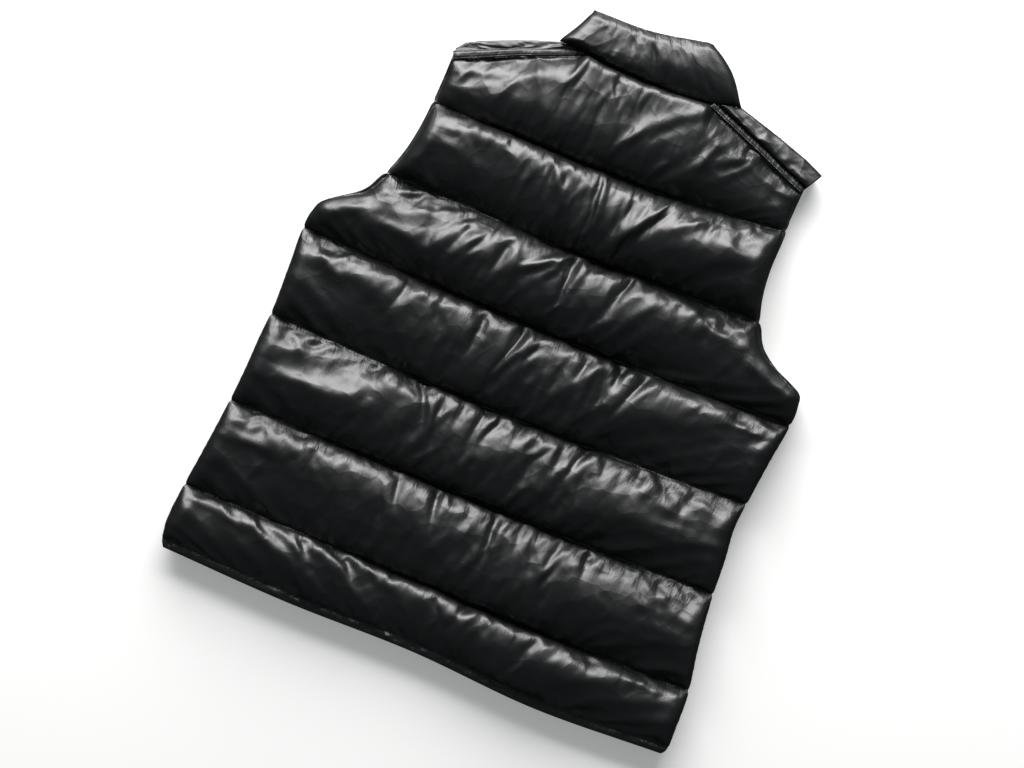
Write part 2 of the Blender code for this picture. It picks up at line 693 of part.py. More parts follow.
def build_vest():
    """The whole vest, in the order it is sewn."""
    for leftover in list(bpy.data.objects):
        bpy.data.objects.remove(leftover, do_unlink=True)
    vest = new_collection("puffer_vest")
    guides = new_collection("guides")
    shell = new_material("shell_nylon", (0.012, 0.013, 0.014), 0.3)
    tape = new_material("zip_tape", (0.014, 0.014, 0.015), 0.85)
    teeth = new_material("zip_teeth", (0.02, 0.02, 0.021), 0.4)
    metal = new_material("slider_metal", (0.08, 0.08, 0.085), 0.3, 1.0)
    build_back(shell, vest)
    for side in SIGN:
        build_front(side, shell, vest)
        build_shoulder_tape(side, shell, vest)
    build_collar(shell, vest)
    build_zip(tape, teeth, vest)
    build_slider(metal, vest, guides)
    build_pull(metal, vest, guides)


build_vest()
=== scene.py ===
"""Looks of a glossy black down vest, zipped up and laid flat with its back up.

Plan millimetres are used throughout: u runs across, v runs up from the hem to the collar, and z is the
height above the surface that the vest lies on.
"""

import math

import bmesh
import bpy
import numpy as np
from mathutils.bvhtree import BVHTree
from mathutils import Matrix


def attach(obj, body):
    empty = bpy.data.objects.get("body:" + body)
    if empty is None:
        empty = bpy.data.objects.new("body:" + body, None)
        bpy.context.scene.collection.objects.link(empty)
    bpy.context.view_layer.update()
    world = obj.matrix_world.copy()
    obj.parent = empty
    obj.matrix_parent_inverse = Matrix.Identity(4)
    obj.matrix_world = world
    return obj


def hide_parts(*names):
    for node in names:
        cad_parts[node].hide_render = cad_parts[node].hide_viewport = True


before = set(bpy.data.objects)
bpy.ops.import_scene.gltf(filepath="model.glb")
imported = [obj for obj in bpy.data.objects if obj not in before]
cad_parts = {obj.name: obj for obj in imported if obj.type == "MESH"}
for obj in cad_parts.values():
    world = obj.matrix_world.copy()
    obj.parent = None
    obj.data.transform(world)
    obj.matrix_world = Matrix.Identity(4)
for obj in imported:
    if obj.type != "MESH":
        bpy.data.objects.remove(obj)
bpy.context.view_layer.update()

# ------------------------------------------------------------------------------------------------
# The back: one quilted panel of thin coated nylon over down. Seven channels lie between its cross
# seams, and its hem is turned up and stitched. The seams gather the cloth a little, so the full
# channels wrinkle away from them, most of all where the gathering is tight.

MM = 0.001
BASE_Z = 15.15  # where the back lies on the fronts
SEAM_Z = 17.3  # the flattened cloth along a seam
SEAM_HALF = 0.5  # half the flat strip that a seam leaves
HEM_BAND = 9.0  # the turned hem, up to its stitching
SHOULDER_SHELF, NECK_SHELF = 6.5, 1.6  # flat seam allowance along the shoulders and the neck
NECK_LEFT, NECK_RIGHT, NECK_EASE = -70.0, 81.0, 12.0  # u of the neck's ends, and the width of the change
LOFT_SHARE, LOFT_MOST = 0.29, 27.0  # swell of a channel: this share of its width, and no more than this
SIDE_REACH = 15.0  # how far in from its sides the back is full
CORNER_REACH, CORNER_V, CORNER_HALF = 9.0, 396.0, 18.0  # and how much further about the armholes' feet
SEAM_DRAW, SEAM_DRAW_HALF = 1.4, 3.2  # each seam's end draws the side edge in by this, over this half width
ARMHOLE_BAND, ARMHOLE_V = 2.5, 386.0  # flat turned edge round the armholes, and where it begins
BACK_COLUMNS, CLOSER_COLUMNS = 221, 385  # while it is blown up, and when it is done
CHANNEL_ROWS = (26, 35, 35, 35, 34, 33, 36)  # from the hem up to the yoke
HEM_ROWS, SHELF_ROWS = 5, 3
CHANNEL_LOFTS = (1.32, 0.91, 0.93, 0.99, 1.20, 1.26, 1.0)  # how full each channel is beside that
FOLD_SHARES = (0.8, 0.9, 0.9, 0.9, 1.1, 1.0, 0.6)  # how deep its small folds are
SQUARENESS = 0.55  # 0 makes a channel's form an arc of a circle, 1 an ellipse
YOKE_CREST = 0.40  # the yoke is fullest at this share of its height
SHOULDER_RAMP = 0.30  # and falls to the shoulder seams over this share
SHELF_RISE = 2.6  # the cloth beside the shoulder strips is this much higher than a seam
NECK_FALL = 0.37  # the share of its height that the yoke loses up to the neck
SEAM_GATHER, CROWN_GATHER = 0.070, 0.014  # how much longer the cloth is than the line it is sewn to
CUT_GATHER = 1.03  # and how much on the whole
CUT_BETWEEN, CUT_ABOVE = 20.0, 150.0  # room left between the pieces of the cloth's own uv map
MOST_WRINKLE = 9.0  # no point of the cloth strays further than this from its channel's round form
FOLD_WEIGHT = 1.5  # how strongly the listed folds start off the wrinkling
YOKE_WRINKLES = 0.65  # the share of its wrinkles that the yoke keeps
HEM_CREST = 1.0  # how far the turned hem swells
SMALL_FOLDS = 44  # small folds below each seam
SMALL_SEED, HEM_SEED = 31, 7

SIDES = np.array([  # v, u of the left edge, u of the right edge: the side seams and the armholes
    (-8, -262.0, 266.0), (-3, -268.0, 271.0), (3, -272.5, 272.8), (20, -276.5, 272.8),
    (60, -275.0, 271.5), (100, -270.0, 264.5), (150, -264.5, 258.5), (200, -260.5, 255.5),
    (230, -259.5, 252.5), (262, -257.5, 255.5), (310, -258.5, 261.0), (345, -260.0, 266.0),
    (368, -258.0, 266.0), (381, -252.0, 261.0), (392, -237.0, 235.0), (404, -219.5, 216.0),
    (424, -207.0, 203.0), (450, -196.5, 194.0), (480, -189.5, 190.0), (520, -186.0, 190.5),
    (550, -185.0, 189.0), (572, -185.0, 191.0),
])
SEAM_PLACES = (-1.0, -0.5, 0.0, 0.5, 1.0)  # from the left side to the right
SEAMS = np.array([  # v of each cross seam at those places, from the hem up to the yoke
    (0.0, -5.0, -4.0, -11.5, -6.0),
    (67.0, 64.0, 61.5, 60.0, 63.0),
    (162.0, 159.5, 159.0, 158.5, 161.0),
    (257.0, 252.0, 250.5, 252.0, 257.0),
    (349.5, 344.0, 341.0, 342.5, 346.5),
    (430.5, 429.5, 425.5, 428.0, 430.5),
    (514.5, 512.0, 511.5, 515.5, 525.5),
])
BACK_TOP = np.array([  # u, v along one shoulder seam, the back neck and the other shoulder seam
    (-185.0, 566.0), (-125.0, 593.5), (-66.0, 616.5), (-34.0, 613.0), (4.0, 611.5),
    (44.0, 613.0), (77.0, 616.5), (135.0, 594.0), (191.0, 571.0),
])
LEANS = np.array([  # mm that each channel's upper seam pulls to the right, at the left, middle and right
    (-6.0, -3.0, 3.0),
    (-5.0, 2.0, 4.0),
    (-6.0, 3.0, 5.0),
    (-7.0, 4.0, 5.0),
    (-4.0, 5.0, 6.0),
    (-5.0, 3.0, 7.0),
    (-4.0, 4.0, 8.0),
])

FOLDS = np.array([  # u, v where it leaves its seam, u, v where it dies out, depth, half width
    # a depth above 0 makes a ridge, and one below 0 a pucker
    (-243, 60, -239, 40, -3.0, 5.0), (-214, 58, -214, 40, -3.0, 6.0), (-199, 62, -182, 32, 2.4, 4.0),
    (-155, 57, -140, 37, 2.0, 3.5), (-140, 56, -136, 34, -3.5, 7.0), (-95, 56, -90, 40, -3.2, 5.0),
    (-54, 60, -46, 42, 1.8, 3.0), (34, 56, 26, 29, -4.0, 5.0), (52, 57, 70, 42, 1.6, 3.0),
    (10, 32, 3, 20, 1.2, 2.5), (109, 25, 97, 5, 1.4, 3.0), (172, 54, 172, 33, -3.5, 8.0),
    (225, 57, 232, 45, 1.6, 3.0), (-210, 118, -227, 80, 1.8, 4.0), (-226, 154, -220, 132, -4.0, 7.0),
    (-182, 154, -180, 131, -4.0, 6.0), (-78, 152, -71, 112, -5.0, 6.0), (-36, 152, -31, 114, -4.5, 5.0),
    (28, 152, 30, 120, -4.0, 6.0), (58, 152, 60, 118, -4.0, 5.0), (103, 132, 88, 110, 1.8, 3.5),
    (130, 150, 135, 124, -3.5, 6.0), (152, 118, 166, 106, 1.6, 3.0), (205, 152, 216, 124, -4.0, 4.5),
    (249, 130, 242, 117, 1.6, 3.0), (268, 92, 260, 70, 1.8, 3.5), (-232, 250, -211, 228, 1.8, 3.5),
    (-210, 246, -205, 222, -4.0, 6.0), (-140, 246, -141, 218, -5.0, 7.0), (-92, 246, -77, 208, -4.5, 5.5),
    (-62, 244, -69, 222, -3.5, 5.0), (-22, 246, -30, 208, -5.0, 5.0), (20, 246, 12, 216, -4.0, 6.0),
    (88, 246, 80, 216, -4.5, 6.0), (150, 246, 146, 222, -4.0, 6.0), (205, 248, 196, 222, -4.0, 6.0),
    (-250, 345, -193, 301, 3.0, 5.0), (-268, 338, -222, 296, -7.0, 15.0), (-142, 336, -162, 283, -5.0, 6.0),
    (-60, 330, -64, 290, -4.0, 6.0), (-17, 330, -32, 286, -5.0, 5.0), (2, 325, -13, 308, 1.6, 3.0),
    (56, 330, 51, 304, -4.5, 6.0), (92, 334, 90, 314, -3.5, 5.0), (118, 333, 98, 284, -5.0, 5.0),
    (215, 292, 206, 270, 1.8, 3.5), (216, 334, 222, 312, -4.0, 6.0), (-208, 408, -215, 352, -4.5, 6.0),
    (-172, 418, -164, 378, -5.5, 8.0), (-146, 416, -139, 358, -5.0, 5.5), (-108, 408, -129, 366, -4.5, 5.0),
    (-66, 405, -76, 362, -3.0, 5.0), (4, 419, -57, 386, 2.6, 4.5), (-6, 404, -30, 387, 1.8, 3.5),
    (5, 414, 2, 370, -5.0, 5.5), (66, 416, 53, 377, -5.0, 6.5), (98, 404, 64, 358, 2.6, 4.5),
    (122, 412, 126, 386, -4.0, 7.0), (162, 424, 141, 385, 2.4, 4.5), (158, 410, 152, 380, -4.0, 5.0),
    (186, 382, 174, 350, 1.8, 3.5), (201, 399, 194, 366, -4.0, 4.5), (202, 423, 222, 361, -5.0, 4.5),
    (-214, 407, -232, 376, -3.5, 4.0), (-236, 392, -246, 366, -3.0, 5.0), (-58, 505, -21, 453, 3.2, 5.0),
    (4, 503, 12, 440, 2.4, 4.0), (78, 508, 21, 430, 3.0, 5.5), (121, 507, 76, 473, 2.6, 4.5),
    (-106, 592, -84, 538, 2.6, 4.5), (-119, 565, -137, 525, 2.4, 4.5), (-61, 608, -78, 558, 2.6, 4.5),
    (-33, 598, 1, 545, 2.8, 5.0), (21, 562, -3, 536, 2.2, 4.0), (-161, 565, -183, 523, 2.2, 3.5),
    (73, 604, -1, 549, 2.0, 5.0), (96, 578, 77, 522, 2.6, 4.5), (143, 585, 91, 554, 2.6, 4.5),
    (136, 574, 106, 541, 2.2, 4.0), (56, 542, 39, 524, 2.0, 3.5), (153, 604, 147, 584, 1.8, 3.0),
])


def smooth_line(knots, values, where):
    """Cubic through the knots whose slope at each is that between its neighbours."""
    knots, values = np.asarray(knots, float), np.asarray(values, float)
    slopes = np.gradient(values, knots)
    where = np.clip(where, knots[0], knots[-1])
    span = np.clip(np.searchsorted(knots, where, side="right") - 1, 0, len(knots) - 2)
    width = knots[span + 1] - knots[span]
    t = (where - knots[span]) / width
    rise = t * t * (3 - 2 * t)
    bend = t * (1 - t) ** 2 * slopes[span] + t * t * (t - 1) * slopes[span + 1]
    return values[span] * (1 - rise) + values[span + 1] * rise + width * bend


def ease(t):
    """Smooth step: 3t^2 - 2t^3, held at 0 below 0 and at 1 above 1."""
    t = np.clip(t, 0.0, 1.0)
    return t * t * (3 - 2 * t)


def rounding(distance, reach):
    """Quarter of an ellipse: sqrt(1 - (1 - d/reach)^2), which is 0 at an edge and 1 beyond reach."""
    inward = np.clip(distance / reach, 0.0, 1.0)
    return np.sqrt(1 - (1 - inward) ** 2)


def waver(shape, cell, seed):
    """Smooth noise on a grid: random values at every cell's corner, eased between in both ways."""
    corners = np.random.default_rng(seed).standard_normal(
        (int(shape[0] / cell[0]) + 3, int(shape[1] / cell[1]) + 3)
    )
    down, across = (np.arange(n) / c for n, c in zip(shape, cell))
    i, j = down.astype(int)[:, None], across.astype(int)[None, :]
    a, b = ease(down - i[:, 0])[:, None], ease(across - j[0])[None, :]
    low = corners[i, j] * (1 - b) + corners[i, j + 1] * b
    high = corners[i + 1, j] * (1 - b) + corners[i + 1, j + 1] * b
    return low * (1 - a) + high * a


def placed(u, v, z):
    """Plan millimetres as metres about the middle of the vest."""
    return np.stack(np.broadcast_arrays(u + 1.85, v - 330.25, z), axis=-1) * MM


def seam_line(seam, place):
    """v of a cross seam at a place from -1 at the left side to 1 at the right."""
    return smooth_line(SEAM_PLACES, seam, place)


def side_line(column, v):
    """u of the left (1) or the right (2) edge at v: a smooth line with a small bell in at every seam."""
    ends = SEAMS[1:, 0] if column == 1 else SEAMS[1:, -1]
    from_end = (np.asarray(v)[..., None] - ends) / SEAM_DRAW_HALF
    notches = SEAM_DRAW * np.exp(-(from_end**2)).sum(axis=-1)
    return smooth_line(SIDES[:, 0], SIDES[:, column], v) + (notches if column == 1 else -notches)


def channel(low, high, rows):
    """Rows across a channel, evenly round an arc of a circle over the chord from low to high.

    The arc's radius is (width^2 / 4 + loft^2) / (2 loft). Gives v, the arc's height, the share of the
    way round it from -1 to 1, and the length round it.
    """
    width = high - low
    loft = np.minimum(LOFT_SHARE * width, LOFT_MOST)
    radius = (width**2 / 4 + loft**2) / (2 * loft)
    half = np.arcsin(width / 2 / radius)
    turn = np.linspace(-1.0, 1.0, rows)[:, None]
    v = (low + high) / 2 + radius * np.sin(turn * half)
    height = radius * np.cos(turn * half) - (radius - loft)
    return v, height, np.broadcast_to(turn, v.shape), (turn + 1) * half * radius


def distance_in(u, v, line):
    """Distance of every grid point to the nearest point of a closely sampled line, row by row."""
    gaps = [np.hypot(a[:, None] - line[:, 0], b[:, None] - line[:, 1]).min(axis=1) for a, b in zip(u, v)]
    return np.array(gaps)


def cut_longer(sewn, gather):
    """The sewn grid with every step along its rows longer by the share `gather`, about the middle column."""
    steps = np.diff(sewn, axis=1) * (1 + (gather[:, 1:] + gather[:, :-1]) / 2)[..., None]
    run = np.concatenate([np.zeros_like(sewn[:, :1]), np.cumsum(steps, axis=1)], axis=1)
    middle = sewn.shape[1] // 2
    return run - run[:, middle, None] + sewn[:, middle, None]


def facing(grid):
    """Unit normals of a grid: the cross product of its steps along a row and from row to row."""
    normal = np.cross(np.gradient(grid, axis=1), np.gradient(grid, axis=0))
    return normal / np.maximum(np.linalg.norm(normal, axis=-1, keepdims=True), 1e-12)


def folded(u, v, folds):
    """Height that folds add, where t runs from 0 to 1 along a fold and s counts half widths across it.

    Across, each is exp(-|s|^1.5) less a deep and a slight trough beside it. A ridge eases in and out along t
    and widens a little, and a pucker is there at once, fades almost evenly and narrows.
    """
    height = np.zeros(np.broadcast(u, v).shape)
    for u0, v0, u1, v1, depth, half in folds:
        length = math.hypot(u1 - u0, v1 - v0)
        along, across = (u1 - u0) / length, (v1 - v0) / length
        t = ((u - u0) * along + (v - v0) * across) / length
        s = ((u - u0) * across - (v - v0) * along) / half
        if depth > 0:
            s *= 1.1 - 0.45 * np.clip(t, 0.0, 1.0)
            onset, fading = ease((t + 0.15) / 0.4), ease((1.15 - t) / 0.8)
        else:
            s *= 0.75 + 0.7 * np.clip(t, 0.0, 1.0)
            onset, fading = ease((t + 0.22) / 0.24), np.clip((1.08 - t) / 1.08, 0.0, 1.0) ** 1.15
        deep_trough, slight_trough = np.exp(-np.abs(s + 1.7) ** 1.7), np.exp(-((s - 1.9) ** 2))
        shape = np.exp(-np.abs(s) ** 1.5) - 0.4 * deep_trough - 0.15 * slight_trough
        height += 0.5 * depth * shape * onset * fading
    return height


def grid_faces(rows, columns, start=0):
    """Quads of a grid of points that are numbered row by row."""
    number = np.arange(rows * columns).reshape(rows, columns) + start
    corners = (number[:-1, :-1], number[:-1, 1:], number[1:, 1:], number[1:, :-1])
    return np.stack(corners, axis=-1).reshape(-1, 4)


def with_columns(grid, columns):
    """The same grid with more columns, each point on the Catmull-Rom curve through the four around it."""
    spots = np.linspace(0.0, grid.shape[1] - 1, columns)
    number = np.clip(spots.astype(int), 0, grid.shape[1] - 2)
    t = (spots - number).reshape(-1, *(1,) * (grid.ndim - 2))
    a, b, c, d = (grid[:, np.clip(number + k, 0, grid.shape[1] - 1)] for k in (-1, 0, 1, 2))
    return b + 0.5 * t * (c - a + t * (2 * a - 5 * b + 4 * c - d + t * (3 * (b - c) + d - a)))


def smoothed(grid):
    """Each inner point of a grid as a quarter, a half and a quarter of its row's run, then its column's."""
    for _ in range(2):
        grid = grid.swapaxes(0, 1).copy()
        grid[1:-1, 1:-1] = (grid[:-2, 1:-1] + 2 * grid[1:-1, 1:-1] + grid[2:, 1:-1]) / 4
    return grid


def filled_with_down(blank, sewn, held, breaks=(), frames=13, pressure=10.0):
    """Wrinkles of cloth that is cut as `blank`, sewn down to `sewn` where it is held, and blown up.

    Blank and sewn are grids of places in metres. `breaks` are the rows that no face joins to the next.
    The held points travel from the one to the other in the first frames while pressure, and no gravity,
    fills the rest, which buckles into wrinkles because the blank is the longer.
    """
    rows, columns = blank.shape[:2]
    quads = grid_faces(rows, columns)
    torn = np.isin(quads[:, 0] // columns, breaks)
    mesh = bpy.data.meshes.new("blank")
    mesh.from_pydata(blank.reshape(-1, 3).tolist(), [], quads[~torn].tolist())
    cloth_piece = bpy.data.objects.new("blank", mesh)
    bpy.context.scene.collection.objects.link(cloth_piece)
    cloth_piece.shape_key_add(name="blank")
    seam_key = cloth_piece.shape_key_add(name="sewn")
    seam_key.data.foreach_set("co", sewn.astype(np.float32).ravel())
    for frame_number, value in ((1, 0.0), (6, 1.0)):
        seam_key.value = value
        seam_key.keyframe_insert("value", frame=frame_number)
    group = cloth_piece.vertex_groups.new(name="held")
    strength = np.round(held.ravel(), 1)
    for value in np.unique(strength[strength > 0]):
        group.add(np.flatnonzero(strength == value).tolist(), float(value), "REPLACE")
    cloth = cloth_piece.modifiers.new("cloth", "CLOTH")
    settings = cloth.settings
    settings.vertex_group_mass = group.name
    settings.use_pressure = True
    settings.uniform_pressure_force = pressure
    settings.use_pressure_volume = True
    settings.target_volume = 0.0
    settings.quality = 4
    settings.mass = 0.01
    settings.tension_stiffness = settings.compression_stiffness = 20.0
    settings.shear_stiffness = 10.0
    settings.tension_damping = settings.compression_damping = settings.shear_damping = 0.5
    settings.bending_stiffness = 0.02
    settings.bending_damping = 0.5
    settings.air_damping = 2.0
    settings.effector_weights.gravity = 0.0
    cloth.collision_settings.use_collision = False
    cloth.collision_settings.use_self_collision = False
    cloth.point_cache.frame_start, cloth.point_cache.frame_end = 1, frames
    for frame_number in range(1, frames + 1):
        bpy.context.scene.frame_set(frame_number)
    settled = cloth_piece.evaluated_get(bpy.context.evaluated_depsgraph_get()).to_mesh()
    points = np.empty(rows * columns * 3, np.float32)
    settled.vertices.foreach_get("co", points)
    bpy.data.objects.remove(cloth_piece)
    bpy.context.scene.frame_set(1)
    points = points.reshape(rows, columns, 3).astype(float)
    strayed = smoothed(points - sewn)
    far = np.linalg.norm(strayed, axis=-1, keepdims=True)
    most = MOST_WRINKLE * MM
    return strayed * most * np.tanh(far / most) / np.maximum(far, 1e-9)


def creases_only(wrinkles):
    """The wrinkles less their own broad drift, which is what is left of them after many smoothings."""
    drift = wrinkles
    for _ in range(90):
        drift = smoothed(drift)
    return wrinkles - drift


def cloth_object(name, points, faces, cloth_uv, crease, finish):
    """Smooth closed cloth piece with the uv of its cut in metres and its nearness to a seam.

    Its normals are recalculated, because it is one closed shell.
    """
    mesh = bpy.data.meshes.new(name)
    mesh.from_pydata(points.tolist(), [], faces)
    work = bmesh.new()
    work.from_mesh(mesh)
    bmesh.ops.recalc_face_normals(work, faces=work.faces)
    work.to_mesh(mesh)
    work.free()
    corner_points = np.empty(len(mesh.loops), np.int32)
    mesh.loops.foreach_get("vertex_index", corner_points)
    layer = mesh.uv_layers.new(name="cloth")
    layer.data.foreach_set("uv", cloth_uv[corner_points].astype(np.float32).ravel())
    seam_nearness = mesh.attributes.new("crease", "FLOAT", "POINT")
    seam_nearness.data.foreach_set("value", crease.astype(np.float32).ravel())
    mesh.materials.append(finish)
    mesh.shade_smooth()
    made = bpy.data.objects.new(name, mesh)
    bpy.context.scene.collection.objects.link(made)
    return made


def ring_of(rows, columns):
    """Numbers of a grid's outermost points, once round."""
    number = np.arange(rows * columns).reshape(rows, columns)
    return np.concatenate([number[0, :-1], number[:-1, -1], number[-1, :0:-1], number[:0:-1, 0]])


def nodes_of(material):
    """A new material's nodes, links and shader."""
    material.use_nodes = True
    tree = material.node_tree
    return tree.nodes, tree.links, tree.nodes["Principled BSDF"]


def bump_on(nodes, links, height, distance, strength, before=None):
    """Bump of a height in metres, on top of another bump if there is one."""
    bump = nodes.new("ShaderNodeBump")
    bump.inputs["Distance"].default_value = distance
    bump.inputs["Strength"].default_value = strength
    links.new(height, bump.inputs["Height"])
    if before:
        links.new(before, bump.inputs["Normal"])
    return bump.outputs["Normal"]


def added(nodes, kind, values, **settings):
    """A new node of a kind, with its own settings and the values of its inputs by name."""
    node = nodes.new("ShaderNode" + kind)
    for name, setting in settings.items():
        setattr(node, name, setting)
    for name, value in values.items():
        node.inputs[name].default_value = value
    return node


def shell_nylon():
    """Calendered black nylon: a fine plain weave, small wrinkles that run across from the seams,
    soft crumpling, and a hard film gloss over a duller body that varies with handling."""
    material = bpy.data.materials.new("shell_nylon")
    nodes, links, shader = nodes_of(material)
    uv = added(nodes, "UVMap", {}, uv_map="cloth").outputs["UV"]

    # gathers: noise drawn out away from the seams, as strong as the cloth is near one
    seam_nearness = added(nodes, "Attribute", {}, attribute_name="crease")
    stretched = added(nodes, "Mapping", {"Scale": (190.0, 40.0, 1.0), "Rotation": (0.0, 0.0, 0.12)})
    gathers = added(nodes, "TexNoise", {"Scale": 1.0, "Detail": 2.5, "Distortion": 0.8})
    pulled = added(nodes, "Math", {}, operation="MULTIPLY")
    links.new(uv, stretched.inputs["Vector"])
    links.new(stretched.outputs["Vector"], gathers.inputs["Vector"])
    links.new(gathers.outputs["Fac"], pulled.inputs[0])
    links.new(seam_nearness.outputs["Fac"], pulled.inputs[1])

    # crumpling: soft noise, and flat facets with wavering edges between them
    crumple = added(nodes, "TexNoise", {"Scale": 50.0, "Detail": 1.5, "Roughness": 0.4})
    strayed = added(nodes, "VectorMath", {1: (0.016, 0.016, 0.0)}, operation="MULTIPLY_ADD")
    facets = added(nodes, "TexVoronoi", {"Scale": 52.0})
    links.new(uv, crumple.inputs["Vector"])
    links.new(crumple.outputs["Color"], strayed.inputs[0])
    links.new(uv, strayed.inputs[2])
    links.new(strayed.outputs["Vector"], facets.inputs["Vector"])

    # the plain weave: two sets of threads that cross
    crossing = added(nodes, "Math", {}, operation="MULTIPLY")
    for number, direction in enumerate(("X", "Y")):
        threads = added(nodes, "TexWave", {"Scale": 620.0, "Distortion": 0.6}, bands_direction=direction)
        links.new(uv, threads.inputs["Vector"])
        links.new(threads.outputs["Fac"], crossing.inputs[number])

    normal = bump_on(nodes, links, pulled.outputs["Value"], 0.0017, 0.8)
    normal = bump_on(nodes, links, crumple.outputs["Fac"], 0.0012, 0.75, normal)
    normal = bump_on(nodes, links, facets.outputs["Distance"], 0.0018, 0.8, normal)
    normal = bump_on(nodes, links, crossing.outputs["Value"], 0.00005, 0.35, normal)
    links.new(normal, shader.inputs["Normal"])

    # handling: patches that are a little duller and paler
    patches = added(nodes, "TexNoise", {"Scale": 18.0, "Detail": 4.0})
    gloss = added(nodes, "MapRange", {"From Min": 0.3, "From Max": 0.7, "To Min": 0.36, "To Max": 0.46})
    tint = added(nodes, "ValToRGB", {})
    darkest, palest = tint.color_ramp.elements
    darkest.position, darkest.color = 0.35, (0.0028, 0.0037, 0.0041, 1.0)
    palest.position, palest.color = 0.7, (0.0048, 0.0055, 0.0058, 1.0)
    links.new(uv, patches.inputs["Vector"])
    links.new(patches.outputs["Fac"], gloss.inputs["Value"])
    links.new(gloss.outputs["Result"], shader.inputs["Roughness"])
    links.new(patches.outputs["Fac"], tint.inputs["Fac"])
    links.new(tint.outputs["Color"], shader.inputs["Base Color"])
    shader.inputs["IOR"].default_value = 1.58
    return material


NYLON = shell_nylon()

place = np.linspace(-1.0, 1.0, BACK_COLUMNS)
edge_v = np.linspace(SIDES[0, 0], SIDES[-1, 0], 420)
side_edges = np.concatenate([np.column_stack([side_line(c, edge_v), edge_v]) for c in (1, 2)])
lines = [seam_line(seam, place) for seam in SEAMS]
top_u = BACK_TOP[0, 0] + (place + 1) / 2 * (BACK_TOP[-1, 0] - BACK_TOP[0, 0])
top_v = np.interp(top_u, BACK_TOP[:, 0], BACK_TOP[:, 1])
at_neck = ease((top_u - NECK_LEFT) / NECK_EASE) * ease((NECK_RIGHT - top_u) / NECK_EASE)
shelf_width = SHOULDER_SHELF + (NECK_SHELF - SHOULDER_SHELF) * at_neck
bounds = [(lines[0] + HEM_BAND + SEAM_HALF, lines[1] - SEAM_HALF)]
bounds += [(low + SEAM_HALF, high - SEAM_HALF) for low, high in zip(lines[1:], lines[2:])]
bounds += [(lines[-1] + SEAM_HALF, top_v - shelf_width)]


def across_the_back(v):
    """u of every point of rows at the heights v, from the left edge to the right."""
    left, right = side_line(1, v[:, :1]), side_line(2, v[:, -1:])
    return left + (place + 1) / 2 * (right - left)


def full_form(w):
    """Height of a full channel at w of its width: halfway between an arc of a circle and an ellipse."""
    radius = (1 + (2 * LOFT_SHARE) ** 2) / (4 * LOFT_SHARE)
    arc = (np.sqrt(radius**2 - (2 * w - 1) ** 2) - (radius - 2 * LOFT_SHARE)) / (2 * LOFT_SHARE)
    return (1 - SQUARENESS) * arc + SQUARENESS * np.sqrt(np.clip(1 - (2 * w - 1) ** 2, 0.0, 1.0))


def yoke_form(w):
    """Height of the yoke: full low down, a gentle fall above that, and a steep edge at the neck."""
    rise = full_form(np.minimum(w / YOKE_CREST, 1.0) / 2)
    fall = 1 - NECK_FALL * np.clip((w - YOKE_CREST) / (1 - YOKE_CREST), 0.0, 1.0) ** 1.25
    return np.where(w < YOKE_CREST, rise, fall * rounding(1 - w, 0.08))


def filled_channel(low, high, rows, form, fullness):
    """v and height of a full channel's rows, which stand at even steps of the length round its form."""
    width = (high - low).mean()
    loft = np.minimum(LOFT_SHARE * (high - low), LOFT_MOST) * fullness
    w = np.linspace(0.0, 1.0, 2001)
    run = np.concatenate([[0.0], np.cumsum(np.hypot(np.diff(w) * width, np.diff(form(w)) * loft.mean()))])
    w = np.interp(np.linspace(0.0, run[-1], rows), run, w)[:, None]
    return low + w * (high - low), form(w) * loft


def small_folds(seed):
    """Rows like those of FOLDS for the small folds below every seam, one to each 9 to 12 mm of it.

    Two in three are puckers, which run down where the stitches pull, and the rest are ridges. Most are
    short. They lean the way that the seams pull, more so towards the right.
    """
    chance, rows, count = np.random.default_rng(seed), [], SMALL_FOLDS
    for (low, high), share in zip(bounds, FOLD_SHARES):
        at = (np.arange(count) + chance.uniform(0.1, 0.9, count)) / count
        v0 = np.interp(at, (place + 1) / 2, high) - chance.uniform(0.0, 11.0, count)
        left, right = side_line(1, v0), side_line(2, v0)
        u0 = left + at * (right - left)
        size = ((high - low).mean() / 90.0) ** 0.8
        length = size * (10.0 + 34.0 * chance.random(count) ** 1.5)
        slant = chance.normal(0.2 + 0.35 * at, 0.38)
        half = size * chance.uniform(2.4, 6.0, count)
        depth = share * half * chance.uniform(0.15, 0.72, count)
        depth = depth * np.where(chance.random(count) < 0.65, -1.0, 0.7)
        rows.append(np.column_stack([u0, v0, u0 - slant * length, v0 - length, depth, half]))
    return np.concatenate(rows)


def hem_folds(seed):
    """Rows like those of FOLDS for short ridges that lean to the left, up from parts of the hem's seam."""
    chance = np.random.default_rng(seed)
    u0 = np.concatenate([chance.uniform(-215.0, -45.0, 26), chance.uniform(115.0, 235.0, 16)])
    v0 = seam_line(SEAMS[0], u0 / 270.0) + HEM_BAND - 3.0
    length = chance.uniform(7.0, 15.0, len(u0))
    half = chance.uniform(1.8, 3.2, len(u0))
    depth = half * chance.uniform(0.35, 0.8, len(u0))
    u1 = u0 - chance.uniform(0.1, 0.9, len(u0)) * length
    return np.column_stack([u0, v0, u1, v0 + length, depth, half])


def side_reach(v):
    """How far in from its edges the back is full: SIDE_REACH, and a bell of CORNER_REACH about CORNER_V."""
    return SIDE_REACH + CORNER_REACH * np.exp(-(((v - CORNER_V) / CORNER_HALF) ** 2))


